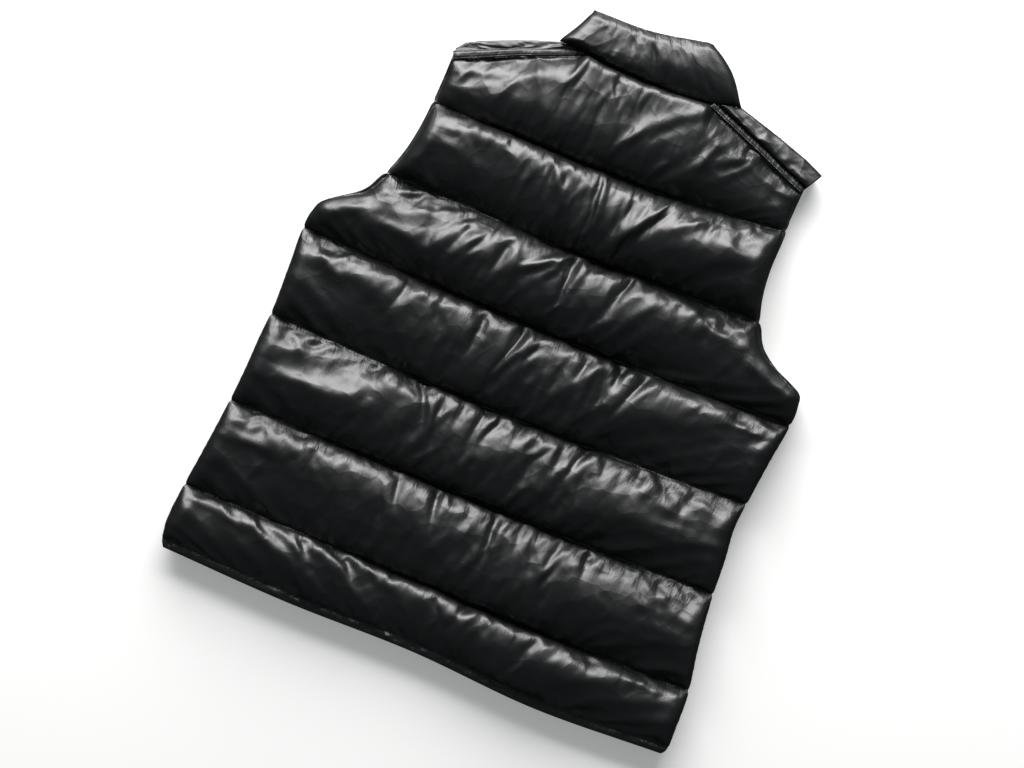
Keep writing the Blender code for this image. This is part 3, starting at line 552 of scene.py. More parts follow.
# the cloth as it is sewn, on an arc over every channel, and the longer cloth that is blown up from it
arcs = [channel(low, high, rows) for (low, high), rows in zip(bounds, CHANNEL_ROWS)]
v, arc, turn, run = (np.concatenate(stack) for stack in zip(*arcs))
number = np.repeat(np.arange(len(CHANNEL_ROWS)), CHANNEL_ROWS)[:, None]
u = across_the_back(v)
inward = distance_in(u, v, side_edges)
ends = np.cumsum(CHANNEL_ROWS) - 1
starts = np.concatenate([[0], ends[:-1] + 1])
near_seam = turn**2
band = ARMHOLE_BAND * ease((v - ARMHOLE_V) / 14.0)
full = rounding(inward - band, side_reach(v))
sewn = placed(u, v, SEAM_Z + arc * full)
gather = CROWN_GATHER + (SEAM_GATHER - CROWN_GATHER) * near_seam
uneven = 1 + 0.75 * waver(u.shape, (34, 13), 5) + 0.35 * waver(u.shape, (34, 5), 6)
gather = gather * np.clip(uneven, 0.05, 2.6)
gather *= (ease(inward / 34.0) * 0.85 + 0.15) * np.where(number == 0, 0.7, 1.0)

# the cloth leans as its seams pull and starts out uneven and folded, so that it buckles there first; it is
# held in its seams and at its sides, and ever less firmly from the sides in
lean = np.array([np.interp(place, (-1, 0, 1), row) for row in LEANS])[number[:, 0]]
unevenness = 0.45 * (waver(u.shape, (6, 4), 1) + waver(u.shape, (12, 9), 2)) * np.cos(turn * math.pi / 2)
blank = cut_longer(sewn, gather)
blank[..., 0] -= lean * turn / 2 * MM
blank[..., 2] += (unevenness + FOLD_WEIGHT * folded(u, v, FOLDS)) * full * MM
held = np.clip(1 - inward / 13.0, 0.0, 1.0) ** 2
held[:, 0] = held[:, -1] = 1.0
held[ends] = held[starts] = 1.0
wrinkles = filled_with_down(blank, sewn, held, breaks=ends[:-1])
wrinkles *= ease(inward / 26.0)[..., None] * 0.6 + 0.4
wrinkles[starts[-1] :] *= YOKE_WRINKLES

# the same channels in their full form, closer, with the wrinkles and the folds on them
forms = [full_form] * 6 + [yoke_form]
fills = [
    filled_channel(low, high, rows, form, fullness)
    for (low, high), rows, form, fullness in zip(bounds, CHANNEL_ROWS, forms, CHANNEL_LOFTS)
]
filled_v, filled_height = (np.concatenate(stack) for stack in zip(*fills))
yoke_w = (filled_v[starts[-1] :] - bounds[-1][0]) / (bounds[-1][1] - bounds[-1][0])
shoulder_ramp = np.sin(math.pi / 2 * np.clip((1 - yoke_w) / SHOULDER_RAMP, 0.0, 1.0))
filled_height[starts[-1] :] *= at_neck + (1 - at_neck) * shoulder_ramp
shelf_rise = np.zeros(u.shape)
shelf_rise[starts[-1] :] = SHELF_RISE * (1 - at_neck) * ease((yoke_w - 0.6) / 0.4)
close_u, close_v, close_height, wrinkles, band, shelf_rise = (
    with_columns(grid, CLOSER_COLUMNS) for grid in (u, filled_v, filled_height, wrinkles, band, shelf_rise)
)
full = rounding(distance_in(close_u, close_v, side_edges) - band, side_reach(close_v))
filled = placed(close_u, close_v, SEAM_Z + close_height * full + shelf_rise)
creased = folded(close_u, close_v, FOLDS)
creased = creased + folded(close_u, close_v, small_folds(SMALL_SEED))
creased = creased + folded(close_u, close_v, hem_folds(HEM_SEED))
channels = filled + wrinkles + facing(filled) * (creased * full)[..., None] * MM

# the turned hem below them, puckered in places, and the flat shelf above them
hem_turn = np.linspace(0.0, 1.0, HEM_ROWS + 1)[:-1, None]
hem_v = lines[0] + hem_turn * HEM_BAND
hem_u = across_the_back(hem_v)
hem_full = rounding(distance_in(hem_u, hem_v, side_edges), 5.0)
puckered = ease(0.4 + 0.9 * waver(hem_v.shape, (9.0, 24.0), 13))
hem_puckers = (0.2 + 1.1 * puckered) * waver(hem_v.shape, (3.0, 2.6), 12)
hem = placed(hem_u, hem_v, SEAM_Z + (HEM_CREST + hem_puckers) * np.sin(math.pi * hem_turn) * hem_full)
shelf_share = np.linspace(1.0, 0.0, SHELF_ROWS + 1)[1:, None]
shelf_v = top_v - shelf_width * shelf_share
shelf = placed(across_the_back(shelf_v), shelf_v, SEAM_Z + SHELF_RISE * (1 - at_neck) * shelf_share)

# the whole outer sheet with its cut, closed by a rim and one flat face where it lies on the fronts
outer = np.concatenate([with_columns(hem, CLOSER_COLUMNS), channels, with_columns(shelf, CLOSER_COLUMNS)])
rows, columns = outer.shape[:2]
crease = with_columns(np.concatenate([np.ones(hem_v.shape), near_seam, np.ones(shelf_v.shape)]), columns)
channel_cut = run + v[starts][number[:, 0]] + number * CUT_BETWEEN
cut_v = np.concatenate([hem_v, channel_cut, shelf_v + CUT_ABOVE])
cut_u = np.concatenate([hem_u, across_the_back(v) * CUT_GATHER, across_the_back(shelf_v)])
cut = with_columns(np.stack([cut_u, cut_v], axis=-1) * MM, columns)
ring = ring_of(rows, columns)
points = outer.reshape(-1, 3)
rim = points[ring]
middle_rim, low_rim = rim.copy(), rim.copy()
middle_rim[:, 2] = (BASE_Z + SEAM_Z) / 2 * MM
low_rim[:, 2] = BASE_Z * MM
outward = rim[:, :2] - points.mean(axis=0)[:2]
middle_rim[:, :2] += 0.5 * MM * outward / np.linalg.norm(outward, axis=1, keepdims=True)
first, second = len(points), len(points) + len(ring)
loops = [ring, np.arange(len(ring)) + first, np.arange(len(ring)) + second]
faces = grid_faces(rows, columns).tolist()
for inner, further in zip(loops, loops[1:]):
    faces += np.stack([inner, np.roll(inner, -1), np.roll(further, -1), further], axis=-1).tolist()
faces.append(loops[-1].tolist())
flat_cut = cut.reshape(-1, 2)
back = cloth_object(
    "quilted_back",
    np.concatenate([points, middle_rim, low_rim]),
    faces,
    np.concatenate([flat_cut, flat_cut[ring], flat_cut[ring]]),
    np.concatenate([crease.ravel(), np.ones(2 * len(ring))]),
    NYLON,
)
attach(back, "vest")
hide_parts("back")

# ------------------------------------------------------------------------------------------------
# The back's stitching: a plain lockstitch in black polyester thread along every cross seam, the hem
# and the armholes. Each stitch that shows is a short arched dash, with its ends down in the cloth.

STITCH_LENGTH, STITCH_PITCH, THREAD_RADIUS = 2.3, 3.1, 0.27
STITCH_RISE, STITCH_ARCH = 0.12, 1.3  # the middle of its arch above the cloth, and how sharply it bends
STITCH_CLIMB = 1.5  # a stitch whose ends differ by more than this in height has run over an edge
ARMHOLE_STITCHED = (398.0, 568.0)  # v where the stitching round the armholes begins and ends


def thread():
    """Black polyester sewing thread, a little duller than the shell."""
    material = bpy.data.materials.new("thread")
    _, _, shader = nodes_of(material)
    shader.inputs["Base Color"].default_value = (0.006, 0.006, 0.0065, 1.0)
    shader.inputs["Roughness"].default_value = 0.6
    return material


THREAD = thread()


def evenly(line, pitch):
    """Points at an even pitch along a line of points, and the unit direction there."""
    steps = np.linalg.norm(np.diff(line, axis=0), axis=1)
    run = np.concatenate([[0.0], np.cumsum(steps)])
    stops = np.arange(pitch / 2, run[-1], pitch)
    here, ahead, behind = (
        np.column_stack([np.interp(stops + beyond, run, line[:, axis]) for axis in (0, 1)])
        for beyond in (0.0, 0.5, -0.5)
    )
    way = ahead - behind
    return here, way / np.linalg.norm(way, axis=1, keepdims=True)


def joined_copies(name, template, template_faces, places, finish):
    """One mesh of many copies of a small shape.

    The template's points are multiplied by each place's three unit axes and moved to its centre.
    """
    centre, axes = places
    points = centre[:, None, :] + np.einsum("pk,nkc->npc", template, axes)
    faces = template_faces[None] + (np.arange(len(centre)) * len(template))[:, None, None]
    mesh = bpy.data.meshes.new(name)
    mesh.from_pydata(points.reshape(-1, 3).tolist(), [], faces.reshape(-1, 4).tolist())
    mesh.materials.append(finish)
    mesh.shade_smooth()
    made = bpy.data.objects.new(name, mesh)
    bpy.context.scene.collection.objects.link(made)
    return made


def stitches(name, piece, lines, below=False):
    """Arched dashes of thread along plan lines, laid on the cloth where a ray down (or up) meets it."""
    tree = BVHTree.FromObject(piece, bpy.context.evaluated_depsgraph_get())
    start, down = (-0.1, 1.0) if below else (0.2, -1.0)
    centres, axes = [], []
    for line in lines:
        for (stop_u, stop_v), (way_u, way_v) in zip(*evenly(line, STITCH_PITCH)):
            hits = []
            for reach in (-STITCH_LENGTH / 2, STITCH_LENGTH / 2):
                x, y, _ = placed(stop_u + reach * way_u, stop_v + reach * way_v, 0.0)
                hits.append(tree.ray_cast((x, y, start), (0.0, 0.0, down))[0])
            if None in hits or abs(hits[0].z - hits[1].z) > STITCH_CLIMB * MM:
                continue
            way = np.array(hits[1] - hits[0])
            way /= np.linalg.norm(way)
            side = np.cross((0.0, 0.0, -down), way)
            side /= np.linalg.norm(side)
            centres.append(np.array(hits[0] + hits[1]) / 2)
            axes.append((way, side, np.cross(way, side)))
    round_it = np.arange(6) * math.pi / 3
    reach = np.array([-0.5, -0.46, -0.2, 0.2, 0.46, 0.5]) * STITCH_LENGTH
    thick = np.array([0.15, 0.75, 1.0, 1.0, 0.75, 0.15]) * THREAD_RADIUS
    rise = STITCH_RISE - STITCH_ARCH * (reach / STITCH_LENGTH) ** 2
    template = np.stack(
        np.broadcast_arrays(
            reach[:, None],
            thick[:, None] * np.cos(round_it),
            rise[:, None] + thick[:, None] * np.sin(round_it),
        ),
        axis=-1,
    ).reshape(-1, 3)
    number = np.arange(36).reshape(6, 6)
    turned = np.roll(number, -1, axis=1)
    quads = np.stack([number[:-1], turned[:-1], turned[1:], number[1:]], axis=-1).reshape(-1, 4)
    caps = np.array([[0, 5, 4, 3], [0, 3, 2, 1], [30, 31, 32, 33], [30, 33, 34, 35]])
    places = np.array(centres), np.array(axes)
    made = joined_copies(name, template * MM, np.concatenate([quads, caps]), places, THREAD)
    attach(made, "vest")
    return made


def within(line, margin):
    """The part of a plan line along a cross seam that keeps this far from the side edges."""
    left, right = side_line(1, line[:, 1]) + margin, side_line(2, line[:, 1]) - margin
    return line[(line[:, 0] > left) & (line[:, 0] < right)]


seam_places = [np.column_stack([across_the_back(line[None])[0], line]) for line in lines]
hem_line = np.column_stack([across_the_back(lines[0][None] + HEM_BAND)[0], lines[0] + HEM_BAND])
armhole_v = np.linspace(*ARMHOLE_STITCHED, 120)
armhole_lines = [
    np.column_stack([side_line(1, armhole_v) + ARMHOLE_BAND, armhole_v]),
    np.column_stack([side_line(2, armhole_v) - ARMHOLE_BAND, armhole_v]),
]
back_lines = [within(line, 1.5) for line in [hem_line] + seam_places[1:]] + armhole_lines
stitches("back_stitching", back, back_lines)

# ------------------------------------------------------------------------------------------------
# The two fronts: quilted like the back, with the same seven channels, and pressed flat by their own
# weight on the surface below. At the shoulders each rolls over on to the back, up to the seam there.

FRONT_TOP = 14.85  # their inner face, just below the back
FRONT_THICK = 2.4  # a front at its edges and in the seams
FRONT_EDGE = 4.5  # centre line to the edge at the zip
PRESSED = 1.3  # the free height of a channel, as a multiple of the height left to it
FRONT_REACH = 14.0  # how far in from its edges a front is full
FRONT_COLUMNS = 105
FRONT_ROWS = (14, 24, 24, 24, 22, 21)  # of its channels, from the hem up to the yoke
FRONT_HEM_ROWS, YOKE_ROWS, ROLL_ROWS = 4, 32, 14
NECK_LOW, NECK_POWER = 570.0, 2.2  # v of the front neck at the zip, and how square its curve is
ROLL_SHELF = 2.6  # a roll's flat allowance beside the shoulder seam
ROLL_REACH = 9.0  # how far in from its ends a roll is full
ROLL_LOFT = {"left": 1.5, "right": 4.4}
ROLL_START = {"left": 1.2, "right": 4.4}  # its level at the seam, above the flattened cloth there
ROLL_FALL = 1.1  # and its level at the fold, below that cloth
RECESS = 2.6  # the inner face is lower by this where the zip's tapes lie
RECESS_HALF, RECESS_HALF_ABOVE = 16.2, 31.0  # up to here, and in the yoke up to here
RECESS_RAMP = 10.0  # and it climbs back over this width
SPREAD_KEPT = 0.6  # the share of its level spread that the pressed cloth keeps
SHOULDER = {
    "left": np.array([(-185.0, 566.0), (-125.0, 593.5), (-66.0, 616.5)]),
    "right": np.array([(191.0, 571.0), (135.0, 594.0), (77.0, 616.5)]),
}
FOLD = {  # where each front turns over the shoulder, from the armhole in to the neck
    "left": np.array([(-184.5, 573), (-177, 582), (-162, 590), (-137, 600.5), (-113, 610), (-91, 617.5)]),
    "right": np.array([(202.5, 590.5), (182, 599.5), (150, 610), (117, 619.5), (103, 623.5)]),
}


def along(line, share):
    """Point at a share of the way along a line of points, counted by their number."""
    spots = np.linspace(0.0, 1.0, len(line))
    return np.stack([np.interp(share, spots, line[:, axis]) for axis in (0, 1)], axis=-1)


def closely(line):
    """The same line of points with one at least every millimetre or so."""
    steps = np.linspace(0.0, len(line) - 1, 60 * (len(line) - 1) + 1)
    return np.column_stack([np.interp(steps, np.arange(len(line)), line[:, axis]) for axis in (0, 1)])


def pad(name, upper, lower, cut_uv, crease, bulge=0.6):
    """Closed pad between two grids of points in metres, joined by a rim round all four edges.

    The rim's middle line lies halfway between the grids' edges, pushed out by the bulge.
    """
    rows, columns = upper.shape[:2]
    ring = ring_of(rows, columns)
    top, bottom = upper.reshape(-1, 3), lower.reshape(-1, 3)
    middle = (top[ring] + bottom[ring]) / 2
    middle += out_of(upper)[ring] * bulge * MM
    count = rows * columns
    loops = [ring, np.arange(len(ring)) + 2 * count, ring + count]
    faces = grid_faces(rows, columns).tolist()
    faces += grid_faces(rows, columns, count)[:, ::-1].tolist()
    for first_loop, next_loop in zip(loops, loops[1:]):
        sides = [first_loop, next_loop, np.roll(next_loop, -1), np.roll(first_loop, -1)]
        faces += np.stack(sides, axis=-1).tolist()
    flat = cut_uv.reshape(-1, 2)
    made = cloth_object(
        name,
        np.concatenate([top, bottom, middle]),
        faces,
        np.concatenate([flat, flat, flat[ring]]),
        np.concatenate([crease.ravel(), crease.ravel(), np.ones(len(ring))]),
        NYLON,
    )
    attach(made, "vest")
    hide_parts(name.replace("quilted_", ""))
    return made


def out_of(grid):
    """Level unit vector from each point's inner neighbour to it, outward along a grid's edges."""
    rows, columns = grid.shape[:2]
    i, j = np.clip(np.arange(rows), 1, rows - 2), np.clip(np.arange(columns), 1, columns - 2)
    way = (grid - grid[i][:, j]) * (1.0, 1.0, 0.0)
    return (way / np.maximum(np.linalg.norm(way, axis=-1, keepdims=True), 1e-9)).reshape(-1, 3)


def hem_and_channels(front_lines, hem_share):
    """Rows of a front from its hem up to the yoke seam: the turned hem, then every channel's arc.

    Gives v, the height of a free channel, and the share of the way round it from -1 to 1.
    """
    hem_rise = 1.2 * np.sin(math.pi * hem_share) * np.ones(FRONT_COLUMNS)
    stack = [(front_lines[0] + hem_share * HEM_BAND, hem_rise, np.ones(hem_rise.shape))]
    for k, rows_here in enumerate(FRONT_ROWS):
        low = front_lines[k] + SEAM_HALF + (HEM_BAND if k == 0 else 0.0)
        stack.append(channel(low, front_lines[k + 1] - SEAM_HALF, rows_here)[:3])
    return [np.concatenate(kind) for kind in zip(*stack)]


def zip_and_neck(sign, corner):
    """A front's inner edge above the yoke seam: straight up at the zip, then the neck out to its corner.

    The neck's v climbs from NECK_LOW to the corner's with |u / corner's u|^NECK_POWER.
    """
    neck_u = np.linspace(sign * FRONT_EDGE, corner[0], 7)[1:]
    neck_v = NECK_LOW + (corner[1] - NECK_LOW) * np.abs(neck_u / corner[0]) ** NECK_POWER
    straight = np.column_stack([np.full(4, sign * FRONT_EDGE), np.linspace(SEAMS[-1, 2], NECK_LOW, 4)])
    return np.concatenate([straight, np.column_stack([neck_u, neck_v])])


def shoulder_roll(side, roll_plan, over, quarter, seed):
    """The cloth that rolls over one shoulder, from the shoulder seam out to the fold.

    It rises beside the seam by a quarter of an ellipse, falls evenly from there, and rounds off at the
    fold. `over` is the share of the way out, and quarter the angle that it stands for.
    """
    shoulder = SHOULDER[side]
    from_ends = np.minimum(
        np.linalg.norm(roll_plan - shoulder[0], axis=-1), np.linalg.norm(roll_plan - shoulder[-1], axis=-1)
    )
    out_share = (over - over[0]) / (1 - over[0])
    profile = rounding(out_share, 0.26) * (1 - 0.8 * out_share) * rounding(1 - out_share, 0.1)
    lift = ROLL_LOFT[side] * profile * rounding(from_ends, ROLL_REACH)
    level = SEAM_Z + ROLL_START[side] * (1 - out_share) - ROLL_FALL * out_share**2
    roll = placed(roll_plan[..., 0], roll_plan[..., 1], level + lift)
    gather = 0.008 * np.cos(quarter) ** 2 + 0.003
    gather = gather * np.clip(1 + 0.6 * waver(roll.shape[:2], (20, 6), seed), 0.2, 2.0)
    blank = cut_longer(roll, gather)
    blank[..., 2] += 0.4 * waver(roll.shape[:2], (6, 6), seed + 1) * MM
    held = np.clip(1 - from_ends / 8.0, 0.0, 1.0) ** 2
    held[0] = held[-1] = held[:, 0] = held[:, -1] = 1.0
    return roll + creases_only(filled_with_down(blank, roll, held))


def front(side, seed):
    """One front as a closed pad: its outer sheet below, its inner sheet above, its roll over the shoulder.

    Its columns run from left to right, and share runs from 0 at its side to 1 at the zip.
    """
    sign, edge_column = (-1.0, 1) if side == "left" else (1.0, 2)
    share = np.linspace(0.0, 1.0, FRONT_COLUMNS)
    if side == "right":
        share = share[::-1]
    inner, outer_end = (-1, 0) if side == "left" else (0, -1)
    shoulder, fold = SHOULDER[side], FOLD[side]
    front_lines = [seam_line(seam, sign * (1 - share)) for seam in SEAMS]
    hem_share = np.linspace(0.0, 1.0, FRONT_HEM_ROWS + 1)[:-1, None]
    plan_v, free, turn = hem_and_channels(front_lines, hem_share)
    reach = side_line(edge_column, plan_v[:, outer_end, None])
    plan_u = reach + share * (sign * FRONT_EDGE - reach)

    # the yoke, where w runs from 0 at its seam to 1 at the shoulder seam, and from there on to the fold
    seam_row = np.column_stack([plan_u[-1], front_lines[-1] + SEAM_HALF])
    inner_edge = zip_and_neck(sign, shoulder[-1])
    w = (np.linspace(0.0, 1.0, YOKE_ROWS) ** 1.15)[:, None]
    shoulder_row = along(shoulder, share)
    shift = along(inner_edge, w[:, 0]) - (1 - w) * seam_row[inner] - w * shoulder[-1]
    yoke = (1 - w)[..., None] * seam_row + w[..., None] * shoulder_row + share[:, None] * shift[:, None]
    width = inner_edge[-1, 1] - SEAMS[-1, 2]
    radius = (width**2 / 4 + LOFT_MOST**2) / (2 * LOFT_MOST)
    rising = np.sqrt(radius**2 - (width * (np.minimum(w, 0.5) - 0.5)) ** 2) - (radius - LOFT_MOST)
    fold_row = along(fold, share)
    run_way = (shoulder[-1] - shoulder[0]) / np.linalg.norm(shoulder[-1] - shoulder[0])
    out_way = np.array([-run_way[1], run_way[0]]) * -sign
    depth = ((fold_row - shoulder_row) * out_way).sum(axis=1)
    quarter = np.linspace(0.0, math.pi / 2, ROLL_ROWS)[:, None]
    over = 1 - (1 - ROLL_SHELF / depth) * np.cos(quarter)
    shelf_share = (ROLL_SHELF / depth) * np.array([[0.35], [0.7]])
    beyond = np.concatenate([shelf_share, over])
    roll_plan = shoulder_row + over[..., None] * (fold_row - shoulder_row)
    beyond_plan = shoulder_row + beyond[..., None] * (fold_row - shoulder_row)

    lower_u = np.concatenate([plan_u, yoke[..., 0], beyond_plan[..., 0]])
    lower_v = np.concatenate([plan_v, yoke[..., 1], beyond_plan[..., 1]])
    flat_rise = np.ones(FRONT_COLUMNS)
    free = np.concatenate([free, rising * flat_rise, np.full(beyond_plan.shape[:2], LOFT_MOST)])
    yoke_turn = (1 - 2 * np.minimum(w, 0.5)) * flat_rise
    near = np.concatenate([turn, yoke_turn, np.zeros(beyond_plan.shape[:2])]) ** 2
    crowns = np.maximum(free, 1e-3)
    breaks = np.cumsum((FRONT_HEM_ROWS,) + FRONT_ROWS) - 1
    begins = np.concatenate([[0], breaks + 1])
    for start, stop in zip(begins, np.append(begins[1:], len(free))):
        crowns[start:stop] = np.max(free[start:stop], axis=0)
    side_edge = np.column_stack([side_line(edge_column, edge_v), edge_v])[::8]
    zip_end = [(sign * FRONT_EDGE, SEAMS[0].min())]
    outline = closely(np.concatenate([side_edge, fold, inner_edge[::-1], zip_end]))
    distance = distance_in(lower_u, lower_v, outline)
    full = rounding(distance, FRONT_REACH)

    # the outer sheet is blown up free, then pressed flat
    sewn = placed(lower_u, lower_v, free * full)
    gather = CROWN_GATHER + (SEAM_GATHER - CROWN_GATHER) * near
    uneven = 1 + 0.75 * waver(near.shape, (24, 9), seed) + 0.3 * waver(near.shape, (20, 4), seed + 1)
    gather *= np.clip(uneven, 0.05, 2.6)
    blank = cut_longer(sewn, gather)
    blank[..., 2] += 0.5 * waver(near.shape, (6, 4), seed + 2) * full * MM
    held = np.clip(1 - distance / 12.0, 0.0, 1.0) ** 2
    held[:FRONT_HEM_ROWS] = 1.0
    held[begins] = held[breaks] = held[-1] = held[:, 0] = held[:, -1] = 1.0
    blown = sewn + filled_with_down(blank, sewn, held, breaks=breaks)
    height = blown[..., 2] / MM
    # the height that is left as a share of the room below: a soft minimum of x and 1
    x = PRESSED * height / crowns
    share_down = (x + 1 - np.sqrt((x - 1) ** 2 + 0.006)) / 2
    share_down[:FRONT_HEM_ROWS] = 0.08 * np.sin(math.pi * hem_share)
    groove = 0.4 * np.clip(free * full - height - 1.0, 0.0, 4.0) * ease((x - 0.8) / 0.3)
    bare = FRONT_TOP - FRONT_THICK
    under = np.maximum(bare * (1 - share_down) + groove, 0.0)
    recess_edge = np.where(lower_v <= SEAMS[-1, 2] + 1, RECESS_HALF, RECESS_HALF_ABOVE)
    recess = RECESS * ease((recess_edge + RECESS_RAMP - np.abs(lower_u)) / RECESS_RAMP)
    recess[-len(beyond) :] = 0.0
    under = np.minimum(under, FRONT_TOP - recess - FRONT_THICK)
    lower = sewn + SPREAD_KEPT * (blown - sewn)
    lower[..., 2] = under * MM

    # the inner sheet is level up to the shoulder seam, climbs there beside the back, and becomes the roll
    roll = shoulder_roll(side, roll_plan, over, quarter, seed + 3)
    climb_rows = []
    for gap, z in ((0.3, FRONT_TOP), (0.4, SEAM_Z)):
        beside_seam = shoulder_row + gap * out_way
        climb_rows.append(placed(beside_seam[:, 0], beside_seam[:, 1], z)[None])
    below_rows = len(free) - len(beyond)
    inner_sheet = placed(lower_u, lower_v, FRONT_TOP - recess)[:below_rows]
    upper = np.concatenate([inner_sheet] + climb_rows + [roll])
    cut_uv = np.stack([lower_u + sign * 700.0, lower_v + free * 1.5], axis=-1) * MM
    made = pad("quilted_front_" + side, upper, lower, cut_uv, near)
    under_lines = [np.column_stack([plan_u[0], front_lines[0] + HEM_BAND])]
    for k, line in enumerate(front_lines[1:], 1):
        under_lines.append(np.column_stack([plan_u[breaks[k]], line]))
    stitches(side + "_front_stitching", made, under_lines, below=True)


for side, seed in (("left", 40), ("right", 60)):
    front(side, seed)

# ------------------------------------------------------------------------------------------------
# The shoulder strips: a strip of the shell over each shoulder seam, with both its edges turned under.
# It is stitched down twice, and lies half on the back and half on the roll of the front.

STRIP_ON_BACK, STRIP_ON_FRONT = 5.2, 3.3
STRIP_BASE, STRIP_TOP = 17.85, 18.85
STRIP_OVER = 2.0  # it runs this far past the neck seam, under the collar
STRIP_TAPER = {"left": 0.42, "right": 0.1}  # the share of its width that it loses up to the neck
STRIP_TILT = {"left": 0.7, "right": 1.6}  # its edge on the back is higher by twice this
STRIP_STITCHED = 0.66  # the share of its half width at which each row of stitching runs
STRIP_GROOVE, GROOVE_HALF, STRIP_SWELL = 0.55, 0.13, 0.5  # the stitching draws it down, and it swells between

for side, seed in (("left", 80), ("right", 84)):
    sign = -1.0 if side == "left" else 1.0
    shoulder = SHOULDER[side]
    run_way = (shoulder[-1] - shoulder[0]) / np.linalg.norm(shoulder[-1] - shoulder[0])
    out_way = np.array([-run_way[1], run_way[0]]) * -sign
    seam = closely(np.array([shoulder[0], shoulder[1], shoulder[2] + STRIP_OVER * run_way]))
    middle, half = (STRIP_ON_FRONT - STRIP_ON_BACK) / 2, (STRIP_ON_FRONT + STRIP_ON_BACK) / 2
    across_strip = np.linspace(-1.0, 1.0, 13)[:, None]
    narrowing = 1 - STRIP_TAPER[side] * np.linspace(0.0, 1.0, len(seam)) ** 1.5
    if side == "right":
        seam, narrowing = seam[::-1], narrowing[::-1]
    strip_plan = seam[None] + ((middle + across_strip * half) * narrowing)[..., None] * out_way
    size = strip_plan.shape[:2]
    tight = 0.07 * waver(size, (9.0, 3.2), seed) + 0.06 * waver(size, (6.0, 9.0), seed + 1)
    groove = -STRIP_GROOVE * np.exp(-(((np.abs(across_strip) - STRIP_STITCHED) / GROOVE_HALF) ** 2))
    swell = STRIP_SWELL * (1 - across_strip**4)
    tilt = STRIP_TILT[side] * (1 - across_strip)
    upper = placed(strip_plan[..., 0], strip_plan[..., 1], STRIP_TOP + groove + swell + tight + tilt)
    lower = placed(strip_plan[..., 0], strip_plan[..., 1], STRIP_BASE)
    cut_uv = strip_plan * MM + 2.0
    strip = pad("quilted_shoulder_tape_" + side, upper, lower, cut_uv, np.ones(size), 0.25)
    strip_lines = [
        seam + ((middle + edge * STRIP_STITCHED * half) * narrowing)[:, None] * out_way for edge in (-1, 1)
    ]
    stitches(side + "_strip_stitching", strip, strip_lines)

# ------------------------------------------------------------------------------------------------
# The zip: two woven tapes behind the fronts' edges, moulded teeth that close on the centre line, the
# box at the lower end, and an enamelled slider whose pull tab hangs down from its bridge.

TAPE_BASE, TAPE_THICK = 12.55, 0.8
TAPE_GAP, TAPE_HALF = 0.15, 15.0  # from the centre line to a tape's two edges
TAPE_START, TAPE_END = 4.0, 615.0
NOTCH_V, NOTCH_HALF = 602.0, 1.6  # the tapes part from here up, round the slider's post
CHAIN_START, CHAIN_END = 18.0, 603.0
TOOTH_PITCH, TOOTH_LOW, TOOTH_HIGH = 3.0, 9.7, 12.2  # the pitch is along one side of the chain
TOOTH_PLAN = np.array([  # u, v of a tooth's outline, from its foot on the tape to its head and back
    (2.9, -0.62), (2.9, 0.62), (1.0, 0.42), (0.2, 0.72),
    (-0.55, 0.5), (-0.55, -0.5), (0.2, -0.72), (1.0, -0.42),
])
TOOTH_LEVELS = np.array([  # z, and the share of the outline there: its moulded edges are rounded off
    (TOOTH_LOW + 0.25, 0.86), (TOOTH_LOW + 0.5, 1.0), (TOOTH_HIGH - 0.25, 1.0), (TOOTH_HIGH, 0.86),
])


def zip_tape():
    """Matt black polyester tape in a fine herringbone weave."""
    material = bpy.data.materials.new("zip_tape")
    nodes, links, shader = nodes_of(material)
    shader.inputs["Base Color"].default_value = (0.012, 0.012, 0.013, 1.0)
    shader.inputs["Roughness"].default_value = 0.82
    where = added(nodes, "TexCoord", {})
    weave = added(nodes, "TexWave", {"Scale": 480.0, "Distortion": 0.4}, bands_direction="DIAGONAL")
    links.new(where.outputs["Object"], weave.inputs["Vector"])
    links.new(bump_on(nodes, links, weave.outputs["Fac"], 0.0001, 0.6), shader.inputs["Normal"])
    return material


def plain_finish(name, colour, roughness, coat=0.0):
    """Even finish of one colour and gloss."""
    material = bpy.data.materials.new(name)
    _, _, shader = nodes_of(material)
    shader.inputs["Base Color"].default_value = (*colour, 1.0)
    shader.inputs["Roughness"].default_value = roughness
    shader.inputs["Coat Weight"].default_value = coat
    return material


TAPE = zip_tape()
TEETH = plain_finish("zip_teeth", (0.018, 0.018, 0.019), 0.38)
ENAMEL = plain_finish("black_enamel", (0.02, 0.02, 0.021), 0.25, 0.6)

for side, sign in (("left", -1.0), ("right", 1.0)):
    climb = np.concatenate([np.linspace(TAPE_START, NOTCH_V - 0.01, 60), np.linspace(NOTCH_V, TAPE_END, 4)])
    from_middle = np.where(climb < NOTCH_V, TAPE_GAP, NOTCH_HALF)
    spread = np.linspace(0.0, 1.0, 5)[:, None]
    tape_u = sign * (from_middle + spread * (TAPE_HALF - from_middle))
    if side == "left":
        tape_u = tape_u[::-1]
    tape_u = tape_u.T
    tape_v = np.broadcast_to(climb[:, None], tape_u.shape)
    upper = placed(tape_u, tape_v, TAPE_BASE + TAPE_THICK)
    lower = placed(tape_u, tape_v, TAPE_BASE)
    tape_cut = np.stack([tape_u, tape_v], axis=-1) * MM
    tape = pad("quilted_zip_tape_" + side, upper, lower, tape_cut, np.zeros(tape_u.shape), 0.05)
    tape.data.materials[0] = TAPE

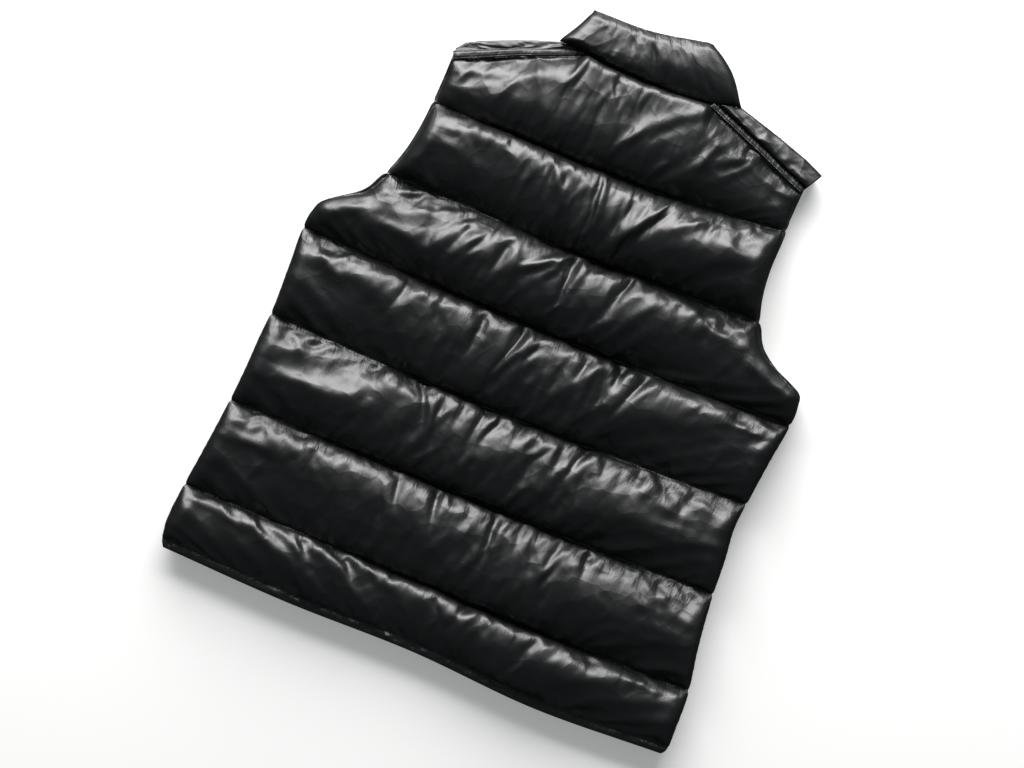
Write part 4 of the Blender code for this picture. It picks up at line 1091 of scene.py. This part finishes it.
# one tooth: its outline at each level, walls from level to level, and a flat face at either end
plan_middle = TOOTH_PLAN.mean(axis=0)
tooth = np.concatenate([
    np.column_stack([plan_middle + share * (TOOTH_PLAN - plan_middle), np.full(8, z)])
    for z, share in TOOTH_LEVELS
])
corner = np.arange(8)
next_corner = np.roll(corner, -1)
walls = [
    np.stack([corner, next_corner, next_corner + 8, corner + 8], axis=-1) + 8 * level for level in range(3)
]
low_end = np.array([(3, 2, 1, 0), (7, 6, 5, 4), (7, 4, 3, 0)])
high_end = np.array([(24, 25, 26, 27), (28, 29, 30, 31), (24, 27, 28, 31)])
tooth_faces = np.concatenate(walls + [low_end, high_end])

# the closed chain: teeth by turns from the one tape and, turned round, from the other
tooth_v = np.arange(CHAIN_START + 0.8, CHAIN_END - 0.8, TOOTH_PITCH / 2)
hand = np.where(np.arange(len(tooth_v)) % 2 == 0, 1.0, -1.0)
tooth_axes = np.zeros((len(tooth_v), 3, 3))
tooth_axes[:, 0, 0] = tooth_axes[:, 1, 1] = hand
tooth_axes[:, 2, 2] = 1.0
tooth_places = placed(np.zeros(len(tooth_v)), tooth_v, 0.0), tooth_axes
chain = joined_copies("zip_chain_teeth", tooth * MM, tooth_faces, tooth_places, TEETH)
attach(chain, "vest")
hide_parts("zip_chain")


def moulded(node, name, finish, body, bevel):
    """A CAD node's shape, merged to one closed mesh, with its edges rounded by the bevel in mm."""
    work = bmesh.new()
    work.from_mesh(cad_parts[node].data)
    bmesh.ops.remove_doubles(work, verts=work.verts, dist=1e-6)
    flat = [edge for edge in work.edges if edge.calc_face_angle(1.0) < math.radians(4)]
    bmesh.ops.dissolve_edges(work, edges=flat, use_verts=False)
    mesh = bpy.data.meshes.new(name)
    work.to_mesh(mesh)
    work.free()
    mesh.materials.clear()
    mesh.materials.append(finish)
    mesh.shade_smooth()
    made = bpy.data.objects.new(name, mesh)
    bpy.context.scene.collection.objects.link(made)
    rounding_off = made.modifiers.new("rounded", "BEVEL")
    rounding_off.width = bevel * MM
    rounding_off.segments = 2
    rounding_off.limit_method = "ANGLE"
    rounding_off.angle_limit = math.radians(35)
    rounding_off.harden_normals = True
    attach(made, body)
    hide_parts(node)


moulded("zip_box", "zip_end_box", TEETH, "vest", 0.4)
moulded("zip_slider", "enamelled_slider", ENAMEL, "vest", 0.22)
moulded("zip_pull", "enamelled_pull", ENAMEL, "pull", 0.3)

# ------------------------------------------------------------------------------------------------
# The collar: one padded strip of the shell with a single channel of down, sewn round the neck and
# flattened. Its back half lies on top, and its front halves turn under at both sides and meet at the zip.

COLLAR_BASE = {"left": (-91.0, 618.6), "right": (103.0, 625.0)}  # u, v where it folds, at the neck seam
COLLAR_PEAK = {"left": (-70.5, 660.0), "right": (53.0, 672.0)}  # and at its top edge
COLLAR_TOP = (-8.0, 661.5)  # and between them, on the back half
COLLAR_FRONT_TOP, COLLAR_FRONT_POWER = 621.0, 1.6  # v of its top edge at the zip, and that edge's curve
BACK_SEAM_Z, BACK_FULL_Z = 17.4, 31.0  # middle of the back half at the neck seam, its top where it is full
COLLAR_CREST = {"left": 0.17, "right": 0.44}  # where it is full, as a share of its height, at both its ends
COLLAR_FALL, COLLAR_FALL_REACH = 7.2, 0.75  # its fall from there to the top, over this share
COLLAR_LIP, COLLAR_LIP_DROP = 0.19, 8.0  # and the steeper turned edge at the top
COLLAR_SAG = 3.0  # the fall of its lower face, and again near the top
FRONT_SEAM_Z, FRONT_Z = 10.5, 6.1  # middle of the front halves at the neck seam, and above it
COLLAR_EDGE, COLLAR_HALF = 1.1, 7.0  # half their thickness at an edge, and where they are full
COLLAR_BOW = {"left": 0.0, "right": 6.5}  # how far each folded end bows out between base and peak
BOW_SHARE = 0.7  # of that along u, and as much along v
END_TAPER = 29.0  # the front halves thin out over this length at the zip
SEAM_REACH, TOP_REACH = 0.35, 0.3  # shares of its height over which it fills from the seam and the top
CLEAR = 0.85  # its seam keeps this far from the neck's edge
COLLAR_ROWS = 34
FRONT_RUN, BACK_RUN, TURN_RUN = 48, 96, 13  # columns of a front half, the back half and a fold
COLLAR_GATHER = 0.013  # how much longer its cloth is than its seams


def collar_base(base_u):
    """v of the collar's seam with the back and the shoulders, at u."""
    neck = np.array([COLLAR_BASE["left"], *(BACK_TOP[2:-2] + (0.0, CLEAR)), COLLAR_BASE["right"]])
    return np.interp(base_u, neck[:, 0], neck[:, 1])


def bowed(side, climb, nearness):
    """How far an end bows out at climb of its height: a half sine, by the square of the fold's nearness."""
    return BOW_SHARE * (COLLAR_BOW[side] * np.sin(math.pi * climb) * nearness**2)


def collar_front(side, share, climb, inset):
    """Plan place on a front half: share runs from the fold to the zip, climb from the neck seam up."""
    sign = -1.0 if side == "left" else 1.0
    (fold_u, _), (peak_u, peak_v) = COLLAR_BASE[side], COLLAR_PEAK[side]
    corner_u, corner_v = SHOULDER[side][-1]
    base_u, top_u = fold_u - sign * inset, peak_u - sign * inset
    base_u = base_u + share * (sign * FRONT_EDGE - base_u)
    top_u = top_u + share * (sign * FRONT_EDGE - top_u)
    top_v = COLLAR_FRONT_TOP + (peak_v - COLLAR_FRONT_TOP) * (1 - share) ** COLLAR_FRONT_POWER
    reach = np.abs(base_u / corner_u)
    neck_v = NECK_LOW + (corner_v - NECK_LOW) * np.minimum(reach, 1.0) ** NECK_POWER
    neck_v = neck_v + CLEAR * (1 + reach / 2) + 1.2 * np.sin(math.pi * np.minimum(reach, 1.0))
    base_v = np.where(np.abs(base_u) > abs(corner_u) + 0.3, collar_base(base_u), neck_v)
    bow = bowed(side, climb, 1 - share)
    return base_u + climb * (top_u - base_u) + sign * bow, base_v + climb * (top_v - base_v) + bow


def collar_sheets():
    """The collar's outer and inner sheets as grids, from the left zip end round to the right one."""
    climb = ((1 - np.cos(np.linspace(0.0, math.pi, COLLAR_ROWS))) / 2)[:, None]
    swollen = ease(climb / SEAM_REACH)
    full_here = rounding(climb, SEAM_REACH) * rounding(1 - climb, TOP_REACH)
    front_half = COLLAR_EDGE + full_here * (COLLAR_HALF - COLLAR_EDGE)
    front_z = FRONT_SEAM_Z + swollen * (FRONT_Z - FRONT_SEAM_Z)
    lip = np.clip(1 - (1 - climb) / COLLAR_LIP, 0.0, 1.0) ** 1.3

    def back_half(crest):
        """z of the back half's two faces: a rise up to the crest, a gentle fall, and a steep turned edge."""
        rise = rounding(climb, crest) * (BACK_FULL_Z - BACK_SEAM_Z - COLLAR_EDGE)
        fall = COLLAR_FALL * np.clip((climb - crest) / COLLAR_FALL_REACH, 0.0, 1.0) ** 1.15
        top = BACK_SEAM_Z + COLLAR_EDGE + rise - fall - COLLAR_LIP_DROP * lip
        sag = COLLAR_SAG * (ease((climb - 0.3) / 0.7) + ease((climb - 0.8) / 0.2))
        return top, BACK_SEAM_Z - COLLAR_EDGE - sag

    turns = {}
    for side, crest in COLLAR_CREST.items():
        top, low = back_half(crest)
        turn_radius = ((top + low) / 2 - front_z) / 2
        turns[side] = turn_radius, (top - low) / 2, turn_radius + front_half
    outer, inner = [], []

    def front_run(side, shares):
        """A front half between its fold and the zip, pressed flat where the surface below stops it."""
        u_here, v_here = collar_front(side, shares, climb, turns[side][2])
        puffed = ease((np.abs(u_here) - FRONT_EDGE) / END_TAPER)
        z = FRONT_SEAM_Z + puffed * (front_z - FRONT_SEAM_Z)
        thick = COLLAR_EDGE + puffed * (front_half - COLLAR_EDGE)
        outer.append(np.stack([u_here, v_here, np.maximum(z - thick, 0.0)], -1))
        inner.append(np.stack([u_here, v_here, z + thick], -1))

    def turned(side, angles):
        """The fold at one end: half a turn about a level axis, from the front half up to the back half."""
        sign = -1.0 if side == "left" else 1.0
        turn_radius, far_half, inset = turns[side]
        u_here, v_here = collar_front(side, 0.0, climb, inset)
        half = front_half + (far_half - front_half) * (1 - np.cos(angles)) / 2
        for reach, sheet_points in ((turn_radius + half, outer), (turn_radius - half, inner)):
            z = front_z + turn_radius - reach * np.cos(angles)
            points = [u_here + sign * reach * np.sin(angles) ** 0.7, v_here, np.maximum(z, 0.0)]
            sheet_points.append(np.stack(np.broadcast_arrays(*points), -1))

    shares = np.linspace(1.0, 0.0, FRONT_RUN)[None, :]
    angles = np.linspace(0.0, math.pi, TURN_RUN)[None, 1:-1]
    front_run("left", shares)
    turned("left", angles)

    # the back half, which is shortened by the folds: across_neck runs from the left one to the right
    across_neck = np.linspace(0.0, 1.0, BACK_RUN)[None, :]
    shortened = turns["left"][2] * (1 - across_neck) - turns["right"][2] * across_neck
    (left_base, _), (right_base, _) = COLLAR_BASE["left"], COLLAR_BASE["right"]
    (left_peak, left_v), (right_peak, right_v) = COLLAR_PEAK["left"], COLLAR_PEAK["right"]
    base_u = left_base + across_neck * (right_base - left_base) + shortened
    peak_u = left_peak + across_neck * (right_peak - left_peak) + shortened
    middle = (COLLAR_TOP[0] - left_peak) / (right_peak - left_peak)
    peak_v = smooth_line([0.0, middle, 1.0], [left_v, COLLAR_TOP[1], right_v], across_neck)
    left_bow, right_bow = bowed("left", climb, 1 - across_neck), bowed("right", climb, across_neck)
    back_u = base_u + climb * (peak_u - base_u) + (right_bow - left_bow)
    back_v = collar_base(base_u) + climb * (peak_v - collar_base(base_u)) + (right_bow + left_bow)
    further = ease((across_neck - 0.32) / 0.34)
    crest = COLLAR_CREST["left"] + (COLLAR_CREST["right"] - COLLAR_CREST["left"]) * further
    back_top, back_low = back_half(crest)
    outer.append(np.stack(np.broadcast_arrays(back_u, back_v, back_top), -1))
    inner.append(np.stack(np.broadcast_arrays(back_u, back_v, back_low), -1))
    turned("right", angles[:, ::-1])
    front_run("right", shares[:, ::-1])
    sheets = [np.concatenate(runs, axis=1) for runs in (outer, inner)]
    return [placed(grid[..., 0], grid[..., 1], grid[..., 2]) for grid in sheets] + [climb]


outer_sheet, inner_sheet, climb = collar_sheets()
shape = outer_sheet.shape[:2]
gather = COLLAR_GATHER * (0.25 + 0.75 * np.abs(2 * climb - 1) ** 1.5) * np.ones(shape)
gather *= np.clip(1 + 0.7 * waver(shape, (17, 8), 90) + 0.3 * waver(shape, (17, 4), 91), 0.1, 2.2)
blank = cut_longer(outer_sheet, gather)
blank += facing(outer_sheet) * (0.4 * waver(shape, (6, 4), 92) * np.sin(math.pi * climb))[..., None] * MM
held = np.zeros(shape)
held[0] = held[-1] = held[:, 0] = held[:, -1] = 1.0
outer_sheet += creases_only(filled_with_down(blank, outer_sheet, held))
outer_sheet[..., 2] = np.maximum(outer_sheet[..., 2], 0.0)
cut_uv = np.stack(np.broadcast_arrays(np.arange(shape[1]) * 2.0 + 1600.0, climb * 50.0), -1) * MM
collar = pad("quilted_collar", outer_sheet, inner_sheet, cut_uv, (2 * climb - 1) ** 2 * np.ones(shape))

# ------------------------------------------------------------------------------------------------
# Floor, light and camera: a pale floor that glossy rays see painted dark grey, one large soft light low
# beyond the collar, and a camera straight above the vest, turned so that the vest lies askew in its view.

PALE_FLOOR = (0.85, 0.85, 0.845)
FLOOR_HALF, FLOOR_DROP = 5.0, 0.0004  # metres
SKY, SKY_STRENGTH = (0.86, 0.96, 1.0, 1.0), 0.13
TURNED = math.radians(21.9)
LOOKED_AT = placed(-7.55, 281.5, 20.0)
VIEW_WIDTH = 1.024  # metres across the view at the vest
LENS, SENSOR = 100.0, 36.0

floor_mesh = bpy.data.meshes.new("floor")
floor_plan = FLOOR_HALF * np.array([(-1, -1), (1, -1), (1, 1), (-1, 1)])
floor_mesh.from_pydata([(x, y, -FLOOR_DROP) for x, y in floor_plan.tolist()], [], [(0, 1, 2, 3)])
floor = bpy.data.objects.new("floor", floor_mesh)
bpy.context.scene.collection.objects.link(floor)
floor_paint = bpy.data.materials.new("floor_paint")
nodes, links, shader = nodes_of(floor_paint)
shader.inputs["Base Color"].default_value = (*PALE_FLOOR, 1.0)
shader.inputs["Roughness"].default_value = 0.9
shader.inputs["Emission Color"].default_value = (1.0, 1.0, 0.995, 1.0)
shader.inputs["Emission Strength"].default_value = 0.25
floor_dark_to_reflections = nodes.new("ShaderNodeMixShader")  # painted shade in reflections: glossy rays see this floor as dark grey, not pale, so the vest's edges reflect dark
ray = nodes.new("ShaderNodeLightPath")
painted_dark_reflection = nodes.new("ShaderNodeBsdfDiffuse")
painted_dark_reflection.inputs["Color"].default_value = (0.05, 0.05, 0.05, 1.0)
links.new(ray.outputs["Is Glossy Ray"], floor_dark_to_reflections.inputs["Fac"])
links.new(shader.outputs["BSDF"], floor_dark_to_reflections.inputs[1])
links.new(painted_dark_reflection.outputs["BSDF"], floor_dark_to_reflections.inputs[2])
links.new(floor_dark_to_reflections.outputs["Shader"], nodes["Material Output"].inputs["Surface"])
floor_mesh.materials.append(floor_paint)

scene = bpy.context.scene
world = bpy.data.worlds.new("studio")
scene.world = world
world.use_nodes = True
world.node_tree.nodes["Background"].inputs["Color"].default_value = SKY
world.node_tree.nodes["Background"].inputs["Strength"].default_value = SKY_STRENGTH


def soft_light(name, azimuth, elevation, distance, size, power, colour):
    """Rectangular light that faces the vest, from an azimuth clockwise of the collar's direction."""
    lamp = bpy.data.lights.new(name, "AREA")
    lamp.shape = "RECTANGLE"
    lamp.size, lamp.size_y = size
    lamp.energy = power
    lamp.color = colour
    made = bpy.data.objects.new(name, lamp)
    scene.collection.objects.link(made)
    a, e = math.radians(azimuth), math.radians(elevation)
    way = np.array([math.sin(a) * math.cos(e), math.cos(a) * math.cos(e), math.sin(e)])
    made.location = way * distance
    made.rotation_euler = (math.pi / 2 - e, 0.0, math.pi - a)
    made.visible_camera = False


soft_light(
    "key",
    azimuth=-19.0,
    elevation=22.5,
    distance=2.6,
    size=(3.1, 1.75),
    power=244.0,
    colour=(1.0, 0.98, 0.975),
)

camera_data = bpy.data.cameras.new("overhead")
camera_data.lens, camera_data.sensor_width = LENS, SENSOR
camera_data.clip_end = 50.0
camera = bpy.data.objects.new("overhead", camera_data)
scene.collection.objects.link(camera)
camera.location = LOOKED_AT + np.array([0.0, 0.0, VIEW_WIDTH * LENS / SENSOR])
camera.rotation_euler = (0.0, 0.0, TURNED)
scene.camera = camera
scene.view_settings.view_transform = "Standard"
